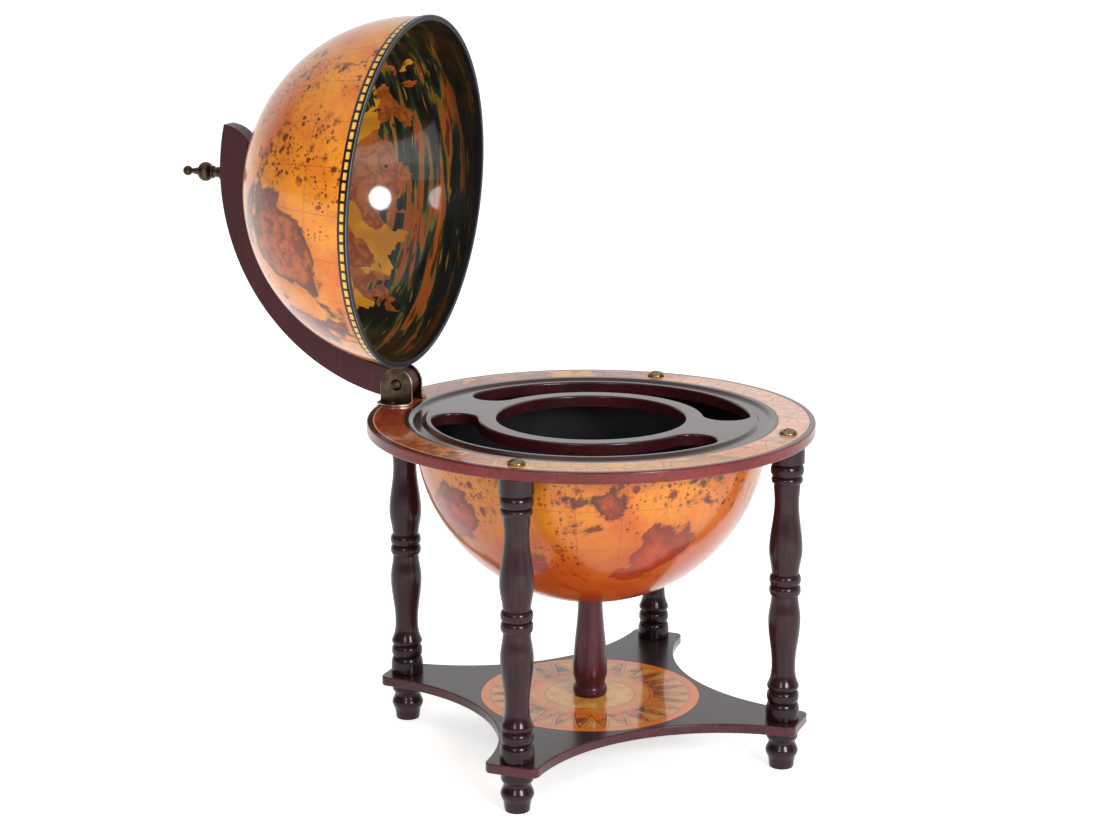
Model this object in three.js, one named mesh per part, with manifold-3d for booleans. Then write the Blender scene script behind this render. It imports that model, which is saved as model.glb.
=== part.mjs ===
// Floor globe bar: a hinged half globe over a round table board, with a bowl, turned legs and a low shelf
// Millimetres, +Z up. It stands on the floor at Z = 0 with the lid open, swung back over the left leg.
// The stand is drawn about the globe's upright axis.
// The lid and its arm are drawn shut, then swung open at the hinge.

import * as THREE from "three";
import { mergeVertices } from "three/addons/utils/BufferGeometryUtils.js";
import Module from "manifold-3d";

const wasm = await Module();
wasm.setup();

// Clearances
const seat = 0.3; // gap between pieces that touch
const slack = 1; // gap round a piece that drops in loose
const overrun = 2; // how far a cutter runs past what it cuts
const weld = 0.001; // points closer than this are one point

// Faces round a turned piece
const roundSides = 40;
const turnedSides = 10;
const smallSides = 8;
const shellSteps = 8;
const beadSteps = 2;
const sweepSteps = 3;
const outlineSteps = 4;
const slotSteps = 6;
const armSteps = 10;

// Globe
const globeRadius = 169.4;
const globeWall = 2.6;

// Table board: the lid's groove goes round the globe, and what lies inside and outside the groove follows it
const boardThickness = 11;
const boardTop = 329;
const boardEdgeRound = 1.6;
const grooveMargin = 4.2; // from the globe out to the groove's outer edge
const grooveWidth = 15.6;
const grooveDepth = 2.8;
const grooveSlope = 2;
const slotMargin = 4.5; // from the groove in to the slots
const slotWidth = 45;
const slotEndAngle = THREE.MathUtils.degToRad(24);
const trayHoleMargin = 17.5; // from the slots in to the round hole
const mapMargin = 4.9; // from the groove out to the map
const mapWidth = 30.5;
const boardMargin = 6; // from the map out to the board's rim
const bowlRebateDepth = 2.2;

// Printed paper, set flush into the board and the shelf
const paperThickness = 0.6;
const medallionMargin = 6.7; // from the shelf's waist in to the medallion

// Legs, from the shelf up
const legInset = 19; // from the board's rim in to the legs' axes
const lowerBlockHeight = 16.6;
const lowerBlockShoulder = 9.4; // the rounded part at the top of the block
const lowerBlockRadius = 16.4;
const lowerBeadHeight = 11.6;
const lowerBeadRadius = 15.4;
const waistBeadHeight = 10.5;
const waistBeadRadius = 15.1;
const smallBeadHeight = 7;
const smallBeadRadius = 14.9;
const upperBeadHeight = 12;
const upperBeadRadius = 15.8;
const topBlockHeight = 17;
const topBlockRadius = 16.2;
const blockEdgeRound = 1.6;
const beadNeckRadius = 13;
const footFlareRadius = 15.2;
const lowerNeckRadius = 11.3;
const lowerBellyRadius = 15.4;
const upperBellyRadius = 15.9;
const upperNeckRadius = 11.6;

// Heights up a vase-shaped stretch of leg, as shares of its length
const flareBottomShare = 0.028;
const flareTopShare = 0.06;
const lowerNeckShare = 0.266;
const lowerBellyShare = 0.747;
const upperBellyShare = 0.265;
const upperNeckShare = 0.79;
const lowerVaseShare = 0.516;
const flareHollow = 2.5; // how sharply the flare falls away to the neck, as a power

// Feet
const footCollarRadius = 15.3;
const footCollarHeight = 7.6;
const footNeckRadius = 12.9;
const footNeckHeight = 26.4;
const footBulbRadius = 15.8;
const footBulbHeight = 17.4;
const footPadHeight = 8;
const footPadRadius = 12.6;
const footSoleRadius = 11.6;
const footSoleRound = 1.4;

// Shelf
const shelfTop = 49;
const shelfThickness = 9.4;
const shelfOverhang = 19; // from the legs' axes out to the tabs' ends
const shelfTabHalfWidth = 26.2;
const shelfWaistDepth = 82; // from the legs' circle in to the waist
const shelfCornerRadius = 8;
const shelfEdgeRound = 1;

// Pillar under the bowl
const pillarBaseHeight = 10.8;
const pillarBaseRadius = 16.8;
const pillarPinchRadius = 14.4;
const pillarBellyRadius = 16.7;
const pillarBellyHeight = 23.5;
const pillarTopRadius = 11.8;

// Floor board inside the bowl
const bowlFloorHeight = 30;
const bowlFloorThickness = 6;

// Leg and pillar fixings
const studRadius = 4;
const studDepthInLeg = 24;
const studDepthInFoot = 20;
const screwRadius = 3;
const screwDepth = 34;
const capBrimRadius = 8.6;
const capBrimThickness = 0.8;
const capDomeRadius = 6.4;
const capDomeHeight = 4.4;
const capSlotWidth = 1.6;
const capSlotDepth = 1.5;
const flatHeadRadius = 5.5;
const flatHeadHeight = 3;
const boltHeadRadius = 7;
const boltHeadHeight = 4;
const boreTipDepth = 2;

// Hinge bracket
const hingeInset = 16.5; // from the board's rim in to the hinge
const hingeRise = 18;
const earThickness = 1.8;
const earHalfWidth = 17;
const earFlangeDepth = 20;
const earFlangeTipDepth = 11;
const earArmGap = 0.4;
const hingeBoltRadius = 3;
const hingeHeadRadius = 5.8;
const hingeHeadHeight = 3.2;
const hingeNutRadius = 5.6;
const hingeNutThickness = 4;
const earScrewRadius = 1.9;
const earScrewLength = 10;
const earScrewHeadRadius = 3.7;
const earScrewHeadHeight = 2;

// Arm
const armThickness = 21.6;
const armWidth = 29.53;
const armCentreDrop = 8.3; // below the board's top
const armOuterEndAngle = THREE.MathUtils.degToRad(13.2); // past the pole
const armInnerEndAngle = THREE.MathUtils.degToRad(10.2);
const armEndBulge = 3.8;
const armEdgeRound = 1;

// Pole fixing
const poleRodRadius = 3;
const poleSpacerRadius = 8;
const poleWasherRadius = 12;
const poleWasherThickness = 2;
const poleNutRadius = 6.4;
const poleNutThickness = 5;
const poleHolePlay = 1;

// Finial, from the arm out
const finialFlangeRadius = 8.2;
const finialFlangeHeight = 5;
const finialNeckRadius = 4.8;
const finialNeckHeight = 14.5;
const finialBeadRadius = 9.6;
const finialBeadHeight = 12.3;
const finialStemRadius = 3.7;
const finialStemTopRadius = 2.5;
const finialStemHeight = 9.4;
const finialBallRadius = 4.95;
const finialBoreDepth = 10;

// Lid rim
const rimOverhang = 1.5; // past the globe
const rimHeight = 3;
const rimLipHeight = 2.2;
const rimLipWall = 0.8;
const rimLipPlay = 0.6; // round the lip, inside the globe
const rimEdgeRound = 0.8;

// Motion
const openAngle = THREE.MathUtils.degToRad(90);
const sagAngle = THREE.MathUtils.degToRad(3.33); // how far the open lid hangs out of line on its pole bolt
const sagTurn = THREE.MathUtils.degToRad(13.4); // from the hinge bolt's line to the one it tips about

// Worked out from the sizes above
const boardUnder = boardTop - boardThickness;
const shelfUnder = shelfTop - shelfThickness;
const globeInner = globeRadius - globeWall;
const grooveOuterRadius = globeRadius + grooveMargin;
const grooveInnerRadius = grooveOuterRadius - grooveWidth;
const slotOuterRadius = grooveInnerRadius - slotMargin;
const slotInnerRadius = slotOuterRadius - slotWidth;
const trayHoleRadius = slotInnerRadius - trayHoleMargin;
const mapInnerRadius = grooveOuterRadius + mapMargin;
const mapOuterRadius = mapInnerRadius + mapWidth;
const boardRadius = mapOuterRadius + boardMargin;
const rimOuterRadius = globeRadius + rimOverhang;
const legCircleRadius = boardRadius - legInset;
const shelfReach = legCircleRadius + shelfOverhang;
const shelfWaistRadius = legCircleRadius - shelfWaistDepth;
const medallionRadius = shelfWaistRadius - medallionMargin;
const hingeRadius = boardRadius - hingeInset;
const paperRecess = paperThickness + seat;
const bowlCentreZ = boardUnder + bowlRebateDepth - seat;
const slotMidRadius = (slotInnerRadius + slotOuterRadius) / 2;
const slotHalfWidth = slotWidth / 2;
const legBottom = shelfTop + seat;
const legTop = boardUnder - seat;
const grooveFloor = boardTop - grooveDepth;
const hinge = new THREE.Vector3(-hingeRadius, 0, boardTop + hingeRise);
const armCentreZ = boardTop - armCentreDrop;
const armMidRadius = Math.hypot(hingeRadius, hinge.z - armCentreZ);
const armHalfWidth = armWidth / 2;
const armOuterRadius = armMidRadius + armHalfWidth;
const armInnerRadius = armMidRadius - armHalfWidth;
const rimBottom = grooveFloor + seat;
const shellBottom = rimBottom + rimHeight + seat;
const rimLipTop = shellBottom + rimLipHeight;
const lidCentreZ = rimBottom;
const lidPoleZ = lidCentreZ + globeRadius;

// Finishes
const finish = (color, roughness, metalness) =>
  new THREE.MeshStandardMaterial({ color, roughness, metalness });
const mahogany = () => finish("#3a1c22", 0.3, 0);
const darkBoard = () => finish("#2b1a1c", 0.35, 0);
const mapPaper = () => finish("#d98a35", 0.2, 0);
const blackLacquer = () => finish("#17161a", 0.35, 0);
const antiqueBrass = () => finish("#6b5a3e", 0.35, 1);
const zincSteel = () => finish("#9a9a98", 0.4, 1);

// Solids from geometries, and back
function solidOf(geometry) {
  const bare = geometry.clone();
  bare.deleteAttribute("normal");
  bare.deleteAttribute("uv");
  const merged = mergeVertices(bare, weld);
  return new wasm.Manifold(
    new wasm.Mesh({
      numProp: 3,
      vertProperties: merged.getAttribute("position").array,
      triVerts: new Uint32Array(merged.index.array),
    }),
  );
}

function geometryOf(solid) {
  const made = solid.getMesh();
  const geometry = new THREE.BufferGeometry();
  geometry.setAttribute("position", new THREE.BufferAttribute(new Float32Array(made.vertProperties), 3));
  geometry.setIndex(new THREE.BufferAttribute(new Uint32Array(made.triVerts), 1));
  geometry.computeVertexNormals();
  return geometry;
}

function cut(body, ...cutters) {
  return geometryOf(cutters.reduce((left, cutter) => left.subtract(solidOf(cutter)), solidOf(body)));
}

function join(...bodies) {
  return geometryOf(bodies.slice(1).reduce((whole, body) => whole.add(solidOf(body)), solidOf(bodies[0])));
}

// Turned shapes: a profile of [radius, height] points, revolved about the upright axis
function turned(profile, sides = turnedSides) {
  const points = profile.map(([radius, height]) => new THREE.Vector2(radius, height));
  return new THREE.LatheGeometry(points, sides).rotateX(Math.PI / 2);
}

function rod(radius, bottom, top, sides = smallSides) {
  return turned([[0, bottom], [radius, bottom], [radius, top], [0, top]], sides);
}

// Points between two stations of a profile, on a curve that is upright at both ends
function flow(from, to, steps = sweepSteps) {
  return Array.from({ length: steps }, (_, i) => {
    const way = (i + 1) / steps;
    const ease = (1 - Math.cos(Math.PI * way)) / 2;
    return [from[0] + (to[0] - from[0]) * ease, from[1] + (to[1] - from[1]) * way];
  });
}

// Points between two stations, on a hollow curve that falls away at once and ends upright
function fall(from, to, steps = sweepSteps) {
  return Array.from({ length: steps }, (_, i) => {
    const way = (i + 1) / steps;
    const left = (1 - way) ** flareHollow;
    return [to[0] + (from[0] - to[0]) * left, from[1] + (to[1] - from[1]) * way];
  });
}

// A half-round bead from one height to another
function bead(bottom, top, neck, crest) {
  const middle = (bottom + top) / 2;
  const half = (top - bottom) / 2;
  return Array.from({ length: 2 * beadSteps + 1 }, (_, i) => {
    const turn = Math.PI * (i / (2 * beadSteps) - 0.5);
    return [neck + (crest - neck) * Math.cos(turn), middle + half * Math.sin(turn)];
  });
}

// Points of a meridian, from one height above the sphere's centre to another
function meridian(radius, centreZ, fromRise, toRise, steps = shellSteps) {
  const from = Math.asin(fromRise / radius);
  const to = Math.asin(toRise / radius);
  return Array.from({ length: steps + 1 }, (_, i) => {
    const angle = from + ((to - from) * i) / steps;
    return [radius * Math.cos(angle), centreZ + radius * Math.sin(angle)];
  });
}

// How high a sphere's surface lies, above its centre, at a distance from its axis
const riseAt = (radius, reach) => Math.sqrt(radius * radius - reach * reach);

// A flat shape drawn in straight steps, without points that fall on each other
function stepped(shape, steps) {
  const apart = (points) => points.filter((point, i) => point.distanceTo(points.at(i - 1)) > weld);
  const drawn = new THREE.Shape(apart(shape.getPoints(steps)));
  drawn.holes = shape.holes.map((hole) => new THREE.Path(apart(hole.getPoints(steps))));
  return drawn;
}

// Flat shapes, extruded upwards from a height
function plate(shape, bottom, thickness, edgeRound = 0, steps = outlineSteps) {
  return new THREE.ExtrudeGeometry(stepped(shape, steps), {
    depth: thickness - 2 * edgeRound,
    bevelEnabled: edgeRound > 0,
    bevelThickness: edgeRound,
    bevelSize: edgeRound,
    bevelOffset: -edgeRound,
    bevelSegments: 1,
  }).translate(0, 0, bottom + edgeRound);
}

function part(group, name, geometry, material) {
  const mesh = new THREE.Mesh(geometry, material);
  mesh.name = name;
  group.add(mesh);
  return mesh;
}

// The four places round the stand, and the turn that takes the right-hand one there
const places = [
  ["right", 0],
  ["back", Math.PI / 2],
  ["left", Math.PI],
  ["front", -Math.PI / 2],
];
const placed = (geometry, radius, turn) =>
  geometry.translate(radius * Math.cos(turn), radius * Math.sin(turn), 0);

// Shelf: a four-armed board with hollow sides, rounded tabs and a round recess for the printed medallion
function shelfShape() {
  const centre = (shelfWaistRadius - shelfTabHalfWidth) / (Math.SQRT2 - 1);
  const hollow = centre - shelfTabHalfWidth;
  const cornerX = shelfReach - shelfCornerRadius;
  const meetY = centre - riseAt(hollow, cornerX - centre);
  const cornerY = meetY - shelfCornerRadius;
  const startAngle = Math.atan2(meetY - centre, cornerX - centre);
  const shape = new THREE.Shape();
  for (let quarter = 0; quarter < places.length; quarter += 1) {
    const turn = (quarter * Math.PI) / 2;
    const at = (x, y) => new THREE.Vector2(x, y).rotateAround(new THREE.Vector2(), turn);
    const corner = at(cornerX, cornerY);
    const side = at(centre, centre);
    const farCorner = at(cornerY, cornerX);
    shape.absarc(corner.x, corner.y, shelfCornerRadius, turn, turn + Math.PI / 2, false);
    shape.absarc(side.x, side.y, hollow, turn + startAngle, turn + Math.PI / 2 - startAngle, true);
    shape.absarc(farCorner.x, farCorner.y, shelfCornerRadius, turn, turn + Math.PI / 2, false);
  }
  return shape;
}

function shelf() {
  const holes = places.map(([, turn]) =>
    placed(rod(studRadius + seat, shelfUnder - overrun, shelfTop + overrun), legCircleRadius, turn),
  );
  return cut(
    plate(shelfShape(), shelfUnder, shelfThickness, shelfEdgeRound),
    rod(medallionRadius + seat, shelfTop - paperRecess, shelfTop + overrun, roundSides),
    rod(screwRadius + seat, shelfUnder - overrun, shelfTop),
    turned(countersink(shelfUnder, -1)),
    ...holes,
  );
}

// A countersink's profile: it opens upwards (+1) or downwards (-1) from a face
function countersink(face, way) {
  const wide = flatHeadRadius + seat;
  const narrow = screwRadius + seat;
  const inner = face - way * (flatHeadHeight + seat);
  const outer = face + way * overrun;
  const profile = [[0, inner], [narrow, inner], [wide, face], [wide, outer], [0, outer]];
  return way > 0 ? profile : profile.reverse();
}

// A ring of paper, or of any flat sheet, between two radii
function ringProfile(inner, outer, bottom, top) {
  return [[inner, bottom], [outer, bottom], [outer, top], [inner, top], [inner, bottom]];
}

// Leg: blocks at both ends, a pair of beads at the waist, and a vase-shaped stretch above and below it
function legProfile() {
  const lowerBlockTop = legBottom + lowerBlockHeight;
  const lowerBeadTop = lowerBlockTop + lowerBeadHeight;
  const shoulderFoot = lowerBlockTop - 2 * lowerBlockShoulder;
  const shoulder = bead(shoulderFoot, lowerBlockTop, beadNeckRadius, lowerBlockRadius).slice(beadSteps);
  const topBlockBottom = legTop - topBlockHeight;
  const upperBeadBottom = topBlockBottom - upperBeadHeight;
  const smallBeadBottom = upperBeadBottom - smallBeadHeight;
  const vaseTotal = smallBeadBottom - lowerBeadTop - 2 * waistBeadHeight;
  const lowerVase = vaseTotal * lowerVaseShare;
  const upperVase = vaseTotal - lowerVase;
  const waist = lowerBeadTop + lowerVase;
  const waistMiddle = waist + waistBeadHeight;
  const waistTop = waistMiddle + waistBeadHeight;
  const flareBottom = [footFlareRadius, lowerBeadTop + lowerVase * flareBottomShare];
  const flareTop = [footFlareRadius, lowerBeadTop + lowerVase * flareTopShare];
  const lowerNeck = [lowerNeckRadius, lowerBeadTop + lowerVase * lowerNeckShare];
  const lowerBelly = [lowerBellyRadius, lowerBeadTop + lowerVase * lowerBellyShare];
  const upperBelly = [upperBellyRadius, waistTop + upperVase * upperBellyShare];
  const upperNeck = [upperNeckRadius, waistTop + upperVase * upperNeckShare];
  const upperLip = [beadNeckRadius, smallBeadBottom];
  return [
    [0, legBottom + studDepthInLeg + boreTipDepth],
    [studRadius + seat, legBottom + studDepthInLeg],
    [studRadius + seat, legBottom],
    [lowerBlockRadius, legBottom],
    ...shoulder,
    ...bead(lowerBlockTop, lowerBeadTop, beadNeckRadius, lowerBeadRadius).slice(1),
    flareBottom,
    flareTop,
    ...fall(flareTop, lowerNeck),
    ...flow(lowerNeck, lowerBelly),
    ...flow(lowerBelly, [beadNeckRadius, waist]).slice(0, -1),
    ...bead(waist, waistMiddle, beadNeckRadius, waistBeadRadius),
    ...bead(waistMiddle, waistTop, beadNeckRadius, waistBeadRadius).slice(1),
    ...flow([beadNeckRadius, waistTop], upperBelly),
    ...flow(upperBelly, upperNeck),
    ...flow(upperNeck, upperLip).slice(0, -1),
    ...bead(smallBeadBottom, upperBeadBottom, beadNeckRadius, smallBeadRadius),
    ...bead(upperBeadBottom, topBlockBottom, beadNeckRadius, upperBeadRadius).slice(1),
    [topBlockRadius - blockEdgeRound, topBlockBottom],
    [topBlockRadius, topBlockBottom + blockEdgeRound],
    [topBlockRadius, legTop],
    [screwRadius + seat, legTop],
    [screwRadius + seat, legTop - screwDepth],
    [0, legTop - screwDepth - boreTipDepth],
  ];
}

// Foot: a collar under the shelf, a hollow neck, a bulb and a slightly tapered pad with a rounded edge
function footProfile() {
  const top = shelfUnder - seat;
  const collar = [footCollarRadius, top - footCollarHeight];
  const neck = [footNeckRadius, footNeckHeight];
  const bulb = [footBulbRadius, footBulbHeight];
  const pad = [footPadRadius, footPadHeight];
  return [
    [0, 0],
    [footSoleRadius - footSoleRound, 0],
    [footSoleRadius, footSoleRound],
    pad,
    ...flow(pad, bulb),
    ...flow(bulb, neck),
    ...flow(neck, collar),
    [footCollarRadius, top],
    [studRadius + seat, top],
    [studRadius + seat, top - studDepthInFoot],
    [0, top - studDepthInFoot - boreTipDepth],
  ];
}

// Pillar: a round base, a belly just above it and a long taper to a top that is hollowed to the bowl
function pillarProfile() {
  const bottom = shelfTop + seat;
  const cup = (reach) => bowlCentreZ - riseAt(globeRadius + seat, reach);
  const pinch = [pillarPinchRadius, bottom + pillarBaseHeight];
  const belly = [pillarBellyRadius, bottom + pillarBellyHeight];
  const top = [pillarTopRadius, cup(pillarTopRadius)];
  const bore = screwRadius + seat;
  return [
    [0, bottom + screwDepth + boreTipDepth],
    [bore, bottom + screwDepth],
    [bore, bottom],
    ...bead(bottom, pinch[1], pillarPinchRadius, pillarBaseRadius),
    ...flow(pinch, belly),
    ...flow(belly, top, 2 * sweepSteps),
    [bore, cup(bore)],
    [bore, cup(bore) - screwDepth],
    [0, cup(bore) - screwDepth - boreTipDepth],
  ];
}

// Table board: rounded rim, recess for the map, groove for the lid, and a rebate below for the bowl
function boardProfile() {
  const recess = boardTop - paperRecess;
  const rebate = boardUnder + bowlRebateDepth;
  return [
    [trayHoleRadius, boardUnder],
    [globeInner - seat, boardUnder],
    [globeInner - seat, rebate],
    [globeRadius + seat, rebate],
    [globeRadius + seat, boardUnder],
    [boardRadius - boardEdgeRound, boardUnder],
    [boardRadius, boardUnder + boardEdgeRound],
    [boardRadius, boardTop - boardEdgeRound],
    [boardRadius - boardEdgeRound, boardTop],
    [mapOuterRadius + seat, boardTop],
    [mapOuterRadius + seat, recess],
    [mapInnerRadius - seat, recess],
    [mapInnerRadius - seat, boardTop],
    [grooveOuterRadius, boardTop],
    [grooveOuterRadius - grooveSlope, grooveFloor],
    [grooveInnerRadius + grooveSlope, grooveFloor],
    [grooveInnerRadius, boardTop],
    [trayHoleRadius, boardTop],
    [trayHoleRadius, boardUnder],
  ];
}

// One of the two long slots: an arc of even width with round ends
function slotShape(side) {
  const from = side * slotEndAngle;
  const to = side * (Math.PI - slotEndAngle);
  const clockwise = side < 0;
  const end = (angle) => [slotMidRadius * Math.cos(angle), slotMidRadius * Math.sin(angle)];
  const shape = new THREE.Shape();
  shape.absarc(0, 0, slotOuterRadius, from, to, clockwise);
  shape.absarc(...end(to), slotHalfWidth, to, to + side * Math.PI, clockwise);
  shape.absarc(0, 0, slotInnerRadius, to, from, !clockwise);
  shape.absarc(...end(from), slotHalfWidth, from + side * Math.PI, from + side * 2 * Math.PI, clockwise);
  return shape;
}

function earScrewBores(bottom) {
  const bore = rod(earScrewRadius + seat, bottom, boardTop + overrun);
  return [-1, 1].map((side) => bore.clone().translate(-hingeRadius, side * earScrewReach, 0));
}

function tableBoard() {
  const bottom = boardUnder - overrun;
  const depth = boardThickness + 2 * overrun;
  const slots = [-1, 1].map((side) => plate(slotShape(side), bottom, depth, 0, slotSteps));
  const screwHoles = places.map(([, turn]) =>
    placed(rod(screwRadius + seat, bottom, boardTop + overrun), legCircleRadius, turn),
  );
  const sink = placed(turned(countersink(boardTop - paperRecess, 1)), legCircleRadius, Math.PI);
  return cut(turned(boardProfile(), roundSides), ...slots, ...screwHoles, sink, ...earScrewBores(bottom));
}

function mapBand() {
  const bottom = boardTop - paperThickness;
  const holes = places.map(([name, turn]) => {
    const radius = name === "left" ? flatHeadRadius : screwRadius;
    return placed(rod(radius + seat, bottom - overrun, boardTop + overrun), legCircleRadius, turn);
  });
  const band = turned(ringProfile(mapInnerRadius, mapOuterRadius, bottom, boardTop), roundSides);
  return cut(band, ...holes, ...earScrewBores(bottom - overrun));
}

// Bowl: the lower half globe, with a hole at the bottom for its bolt
function bowlProfile() {
  const hole = screwRadius + seat;
  return [
    [hole, bowlCentreZ - riseAt(globeRadius, hole)],
    ...meridian(globeRadius, bowlCentreZ, -riseAt(globeRadius, pillarTopRadius), 0),
    ...meridian(globeInner, bowlCentreZ, 0, -riseAt(globeInner, pillarTopRadius)),
    [hole, bowlCentreZ - riseAt(globeInner, hole)],
    [hole, bowlCentreZ - riseAt(globeRadius, hole)],
  ];
}

// Floor board inside the bowl: its edge is tapered to the bowl's curve, and its top is drawn in two rings,
// one under the bolt's head and one that lies free outside it
function bowlFloorProfile() {
  const bottom = bowlCentreZ - globeInner + bowlFloorHeight;
  const top = bottom + bowlFloorThickness;
  const reach = (height) => riseAt(globeInner - slack, bowlCentreZ - height);
  return [
    [screwRadius + seat, bottom],
    [reach(bottom), bottom],
    [reach(top), top],
    [boltHeadRadius + slack, top],
    [screwRadius + seat, top],
    [screwRadius + seat, bottom],
  ];
}

// Fasteners
function capScrew() {
  const bottom = boardTop + seat;
  const brimTop = bottom + capBrimThickness;
  const domeTop = brimTop + capDomeHeight;
  const dome = Array.from({ length: beadSteps + 1 }, (_, i) => {
    const angle = ((Math.PI / 2) * i) / (beadSteps + 1);
    return [capDomeRadius * Math.cos(angle), brimTop + capDomeHeight * Math.sin(angle)];
  });
  const shank = legTop - screwDepth + seat;
  const body = turned([
    [0, shank],
    [screwRadius, shank],
    [screwRadius, bottom],
    [capBrimRadius, bottom],
    [capBrimRadius, brimTop],
    ...dome,
    [0, domeTop],
  ]);
  const slot = new THREE.BoxGeometry(capBrimRadius + capBrimRadius, capSlotWidth, capSlotDepth + overrun);
  return cut(body, slot.translate(0, 0, domeTop - capSlotDepth + (capSlotDepth + overrun) / 2));
}

// A countersunk screw whose head lies flush in a face and whose shank runs the other way
function flatScrew(face, way, tip) {
  const profile = [
    [0, tip],
    [screwRadius, tip],
    [screwRadius, face - way * flatHeadHeight],
    [flatHeadRadius, face],
    [0, face],
  ];
  return turned(way > 0 ? profile : profile.reverse(), smallSides);
}

// A screw or bolt with a rounded head: the head's underside is at a height and the shank runs down from it
function roundScrew(shankRadius, tip, under, headRadius, headHeight) {
  const head = Array.from({ length: beadSteps + 1 }, (_, i) => {
    const angle = ((Math.PI / 2) * i) / (beadSteps + 1);
    return [headRadius * Math.cos(angle), under + headHeight * Math.sin(angle)];
  });
  return turned([[0, tip], [shankRadius, tip], [shankRadius, under], ...head, [0, under + headHeight]]);
}

function hexNut(radius, bore, bottom, thickness) {
  const top = bottom + thickness;
  const nut = new THREE.CylinderGeometry(radius, radius, thickness, 6).rotateX(Math.PI / 2);
  return cut(nut.translate(0, 0, (bottom + top) / 2), rod(bore, bottom - overrun, top + overrun));
}

// Hinge bracket: one of two ears, a plate with a round top and a foot bent outwards onto the board
const earInner = armThickness / 2 + earArmGap;
const earBottom = boardTop + seat;
const earScrewReach = earInner + (earThickness + earFlangeDepth) / 2;

function ear(side) {
  const rise = hinge.z - earBottom;
  const upright = new THREE.Shape();
  upright.moveTo(-earHalfWidth, -rise);
  upright.lineTo(earHalfWidth, -rise);
  upright.absarc(0, 0, earHalfWidth, 0, Math.PI, false);
  const bolt = new THREE.Path();
  bolt.absarc(0, 0, hingeBoltRadius + seat, 0, 2 * Math.PI, false);
  upright.holes.push(bolt);
  const flange = new THREE.Shape();
  flange.moveTo(-earHalfWidth, 0);
  flange.lineTo(-earHalfWidth, -earFlangeTipDepth);
  flange.quadraticCurveTo(0, earFlangeTipDepth - 2 * earFlangeDepth, earHalfWidth, -earFlangeTipDepth);
  flange.lineTo(earHalfWidth, 0);
  const screw = new THREE.Path();
  screw.absarc(0, earInner - earScrewReach, earScrewRadius + seat, 0, 2 * Math.PI, false);
  flange.holes.push(screw);
  const standing = plate(upright, 0, earThickness).rotateX(Math.PI / 2).translate(0, -earInner, hinge.z);
  const lying = plate(flange, earBottom, earThickness).translate(0, -earInner, 0);
  const whole = join(standing, lying);
  return (side < 0 ? whole : whole.rotateZ(Math.PI)).translate(hinge.x, 0, 0);
}

// Arm, drawn shut: a band from the hinge up over the pole, with a round heel and a bowed tip
function armShape() {
  const heelTurn = Math.atan2(hinge.z - armCentreZ, hinge.x);
  const outerEnd = Math.PI / 2 - armOuterEndAngle;
  const innerEnd = Math.PI / 2 - armInnerEndAngle;
  const outerTip = new THREE.Vector2(Math.cos(outerEnd), Math.sin(outerEnd)).multiplyScalar(armOuterRadius);
  const innerTip = new THREE.Vector2(Math.cos(innerEnd), Math.sin(innerEnd)).multiplyScalar(armInnerRadius);
  const middle = outerTip.clone().add(innerTip).divideScalar(2);
  const across = outerTip.clone().sub(innerTip).normalize();
  const bow = middle.add(new THREE.Vector2(across.y, -across.x).multiplyScalar(2 * armEndBulge));
  const heel = new THREE.Vector2(Math.cos(heelTurn), Math.sin(heelTurn)).multiplyScalar(armMidRadius);
  const shape = new THREE.Shape();
  shape.absarc(0, 0, armInnerRadius, heelTurn, innerEnd, true);
  shape.quadraticCurveTo(bow.x, bow.y, outerTip.x, outerTip.y);
  shape.absarc(0, 0, armOuterRadius, outerEnd, heelTurn, false);
  shape.absarc(heel.x, heel.y, armHalfWidth, heelTurn, heelTurn + Math.PI, false);
  return shape;
}

function arm() {
  const band = plate(armShape(), -armThickness / 2, armThickness, armEdgeRound, armSteps);
  const upright = band.rotateX(Math.PI / 2).translate(0, 0, armCentreZ);
  const bore = rod(hingeBoltRadius + seat, -armThickness, armThickness).rotateX(Math.PI / 2);
  const poleBottom = armCentreZ + armInnerRadius - overrun;
  const poleBore = rod(poleRodRadius + seat, poleBottom, finialBottom + overrun);
  return cut(upright, bore.translate(hinge.x, 0, hinge.z), poleBore);
}

// Finial: flange, neck, bead, stem and ball, bored to screw onto the pole rod
const finialBottom = armCentreZ + armOuterRadius + seat;

function finialProfile() {
  const bore = poleRodRadius + seat;
  const shoulder = [finialFlangeRadius, finialBottom + finialFlangeHeight / 2];
  const neckTop = finialBottom + finialNeckHeight;
  const beadTop = neckTop + finialBeadHeight;
  const stemTop = beadTop + finialStemHeight;
  const ballCentre = stemTop + riseAt(finialBallRadius, finialStemTopRadius);
  const ball = meridian(finialBallRadius, ballCentre, stemTop - ballCentre, finialBallRadius, 2 * beadSteps);
  return [
    [0, finialBottom + finialBoreDepth + boreTipDepth],
    [bore, finialBottom + finialBoreDepth],
    [bore, finialBottom],
    [finialFlangeRadius, finialBottom],
    shoulder,
    ...flow(shoulder, [finialNeckRadius, finialBottom + finialFlangeHeight]),
    [finialNeckRadius, neckTop],
    ...bead(neckTop, beadTop, finialNeckRadius, finialBeadRadius).slice(1, -1),
    [finialStemRadius, beadTop],
    [finialStemTopRadius, stemTop],
    ...ball.slice(1, -1),
    [0, ballCentre + finialBallRadius],
  ];
}

// Pole fixing: a crowned spacer outside the lid, a washer that tips with the lid inside it, and a nut
const spacerTop = armCentreZ + riseAt(armInnerRadius, poleSpacerRadius) - seat;
const washerTop = riseAt(globeInner, poleWasherRadius) - seat;
const nutTop = lidCentreZ + washerTop - poleWasherThickness - seat - poleNutRadius * Math.sin(sagAngle);
const nutBottom = nutTop - poleNutThickness;

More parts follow.
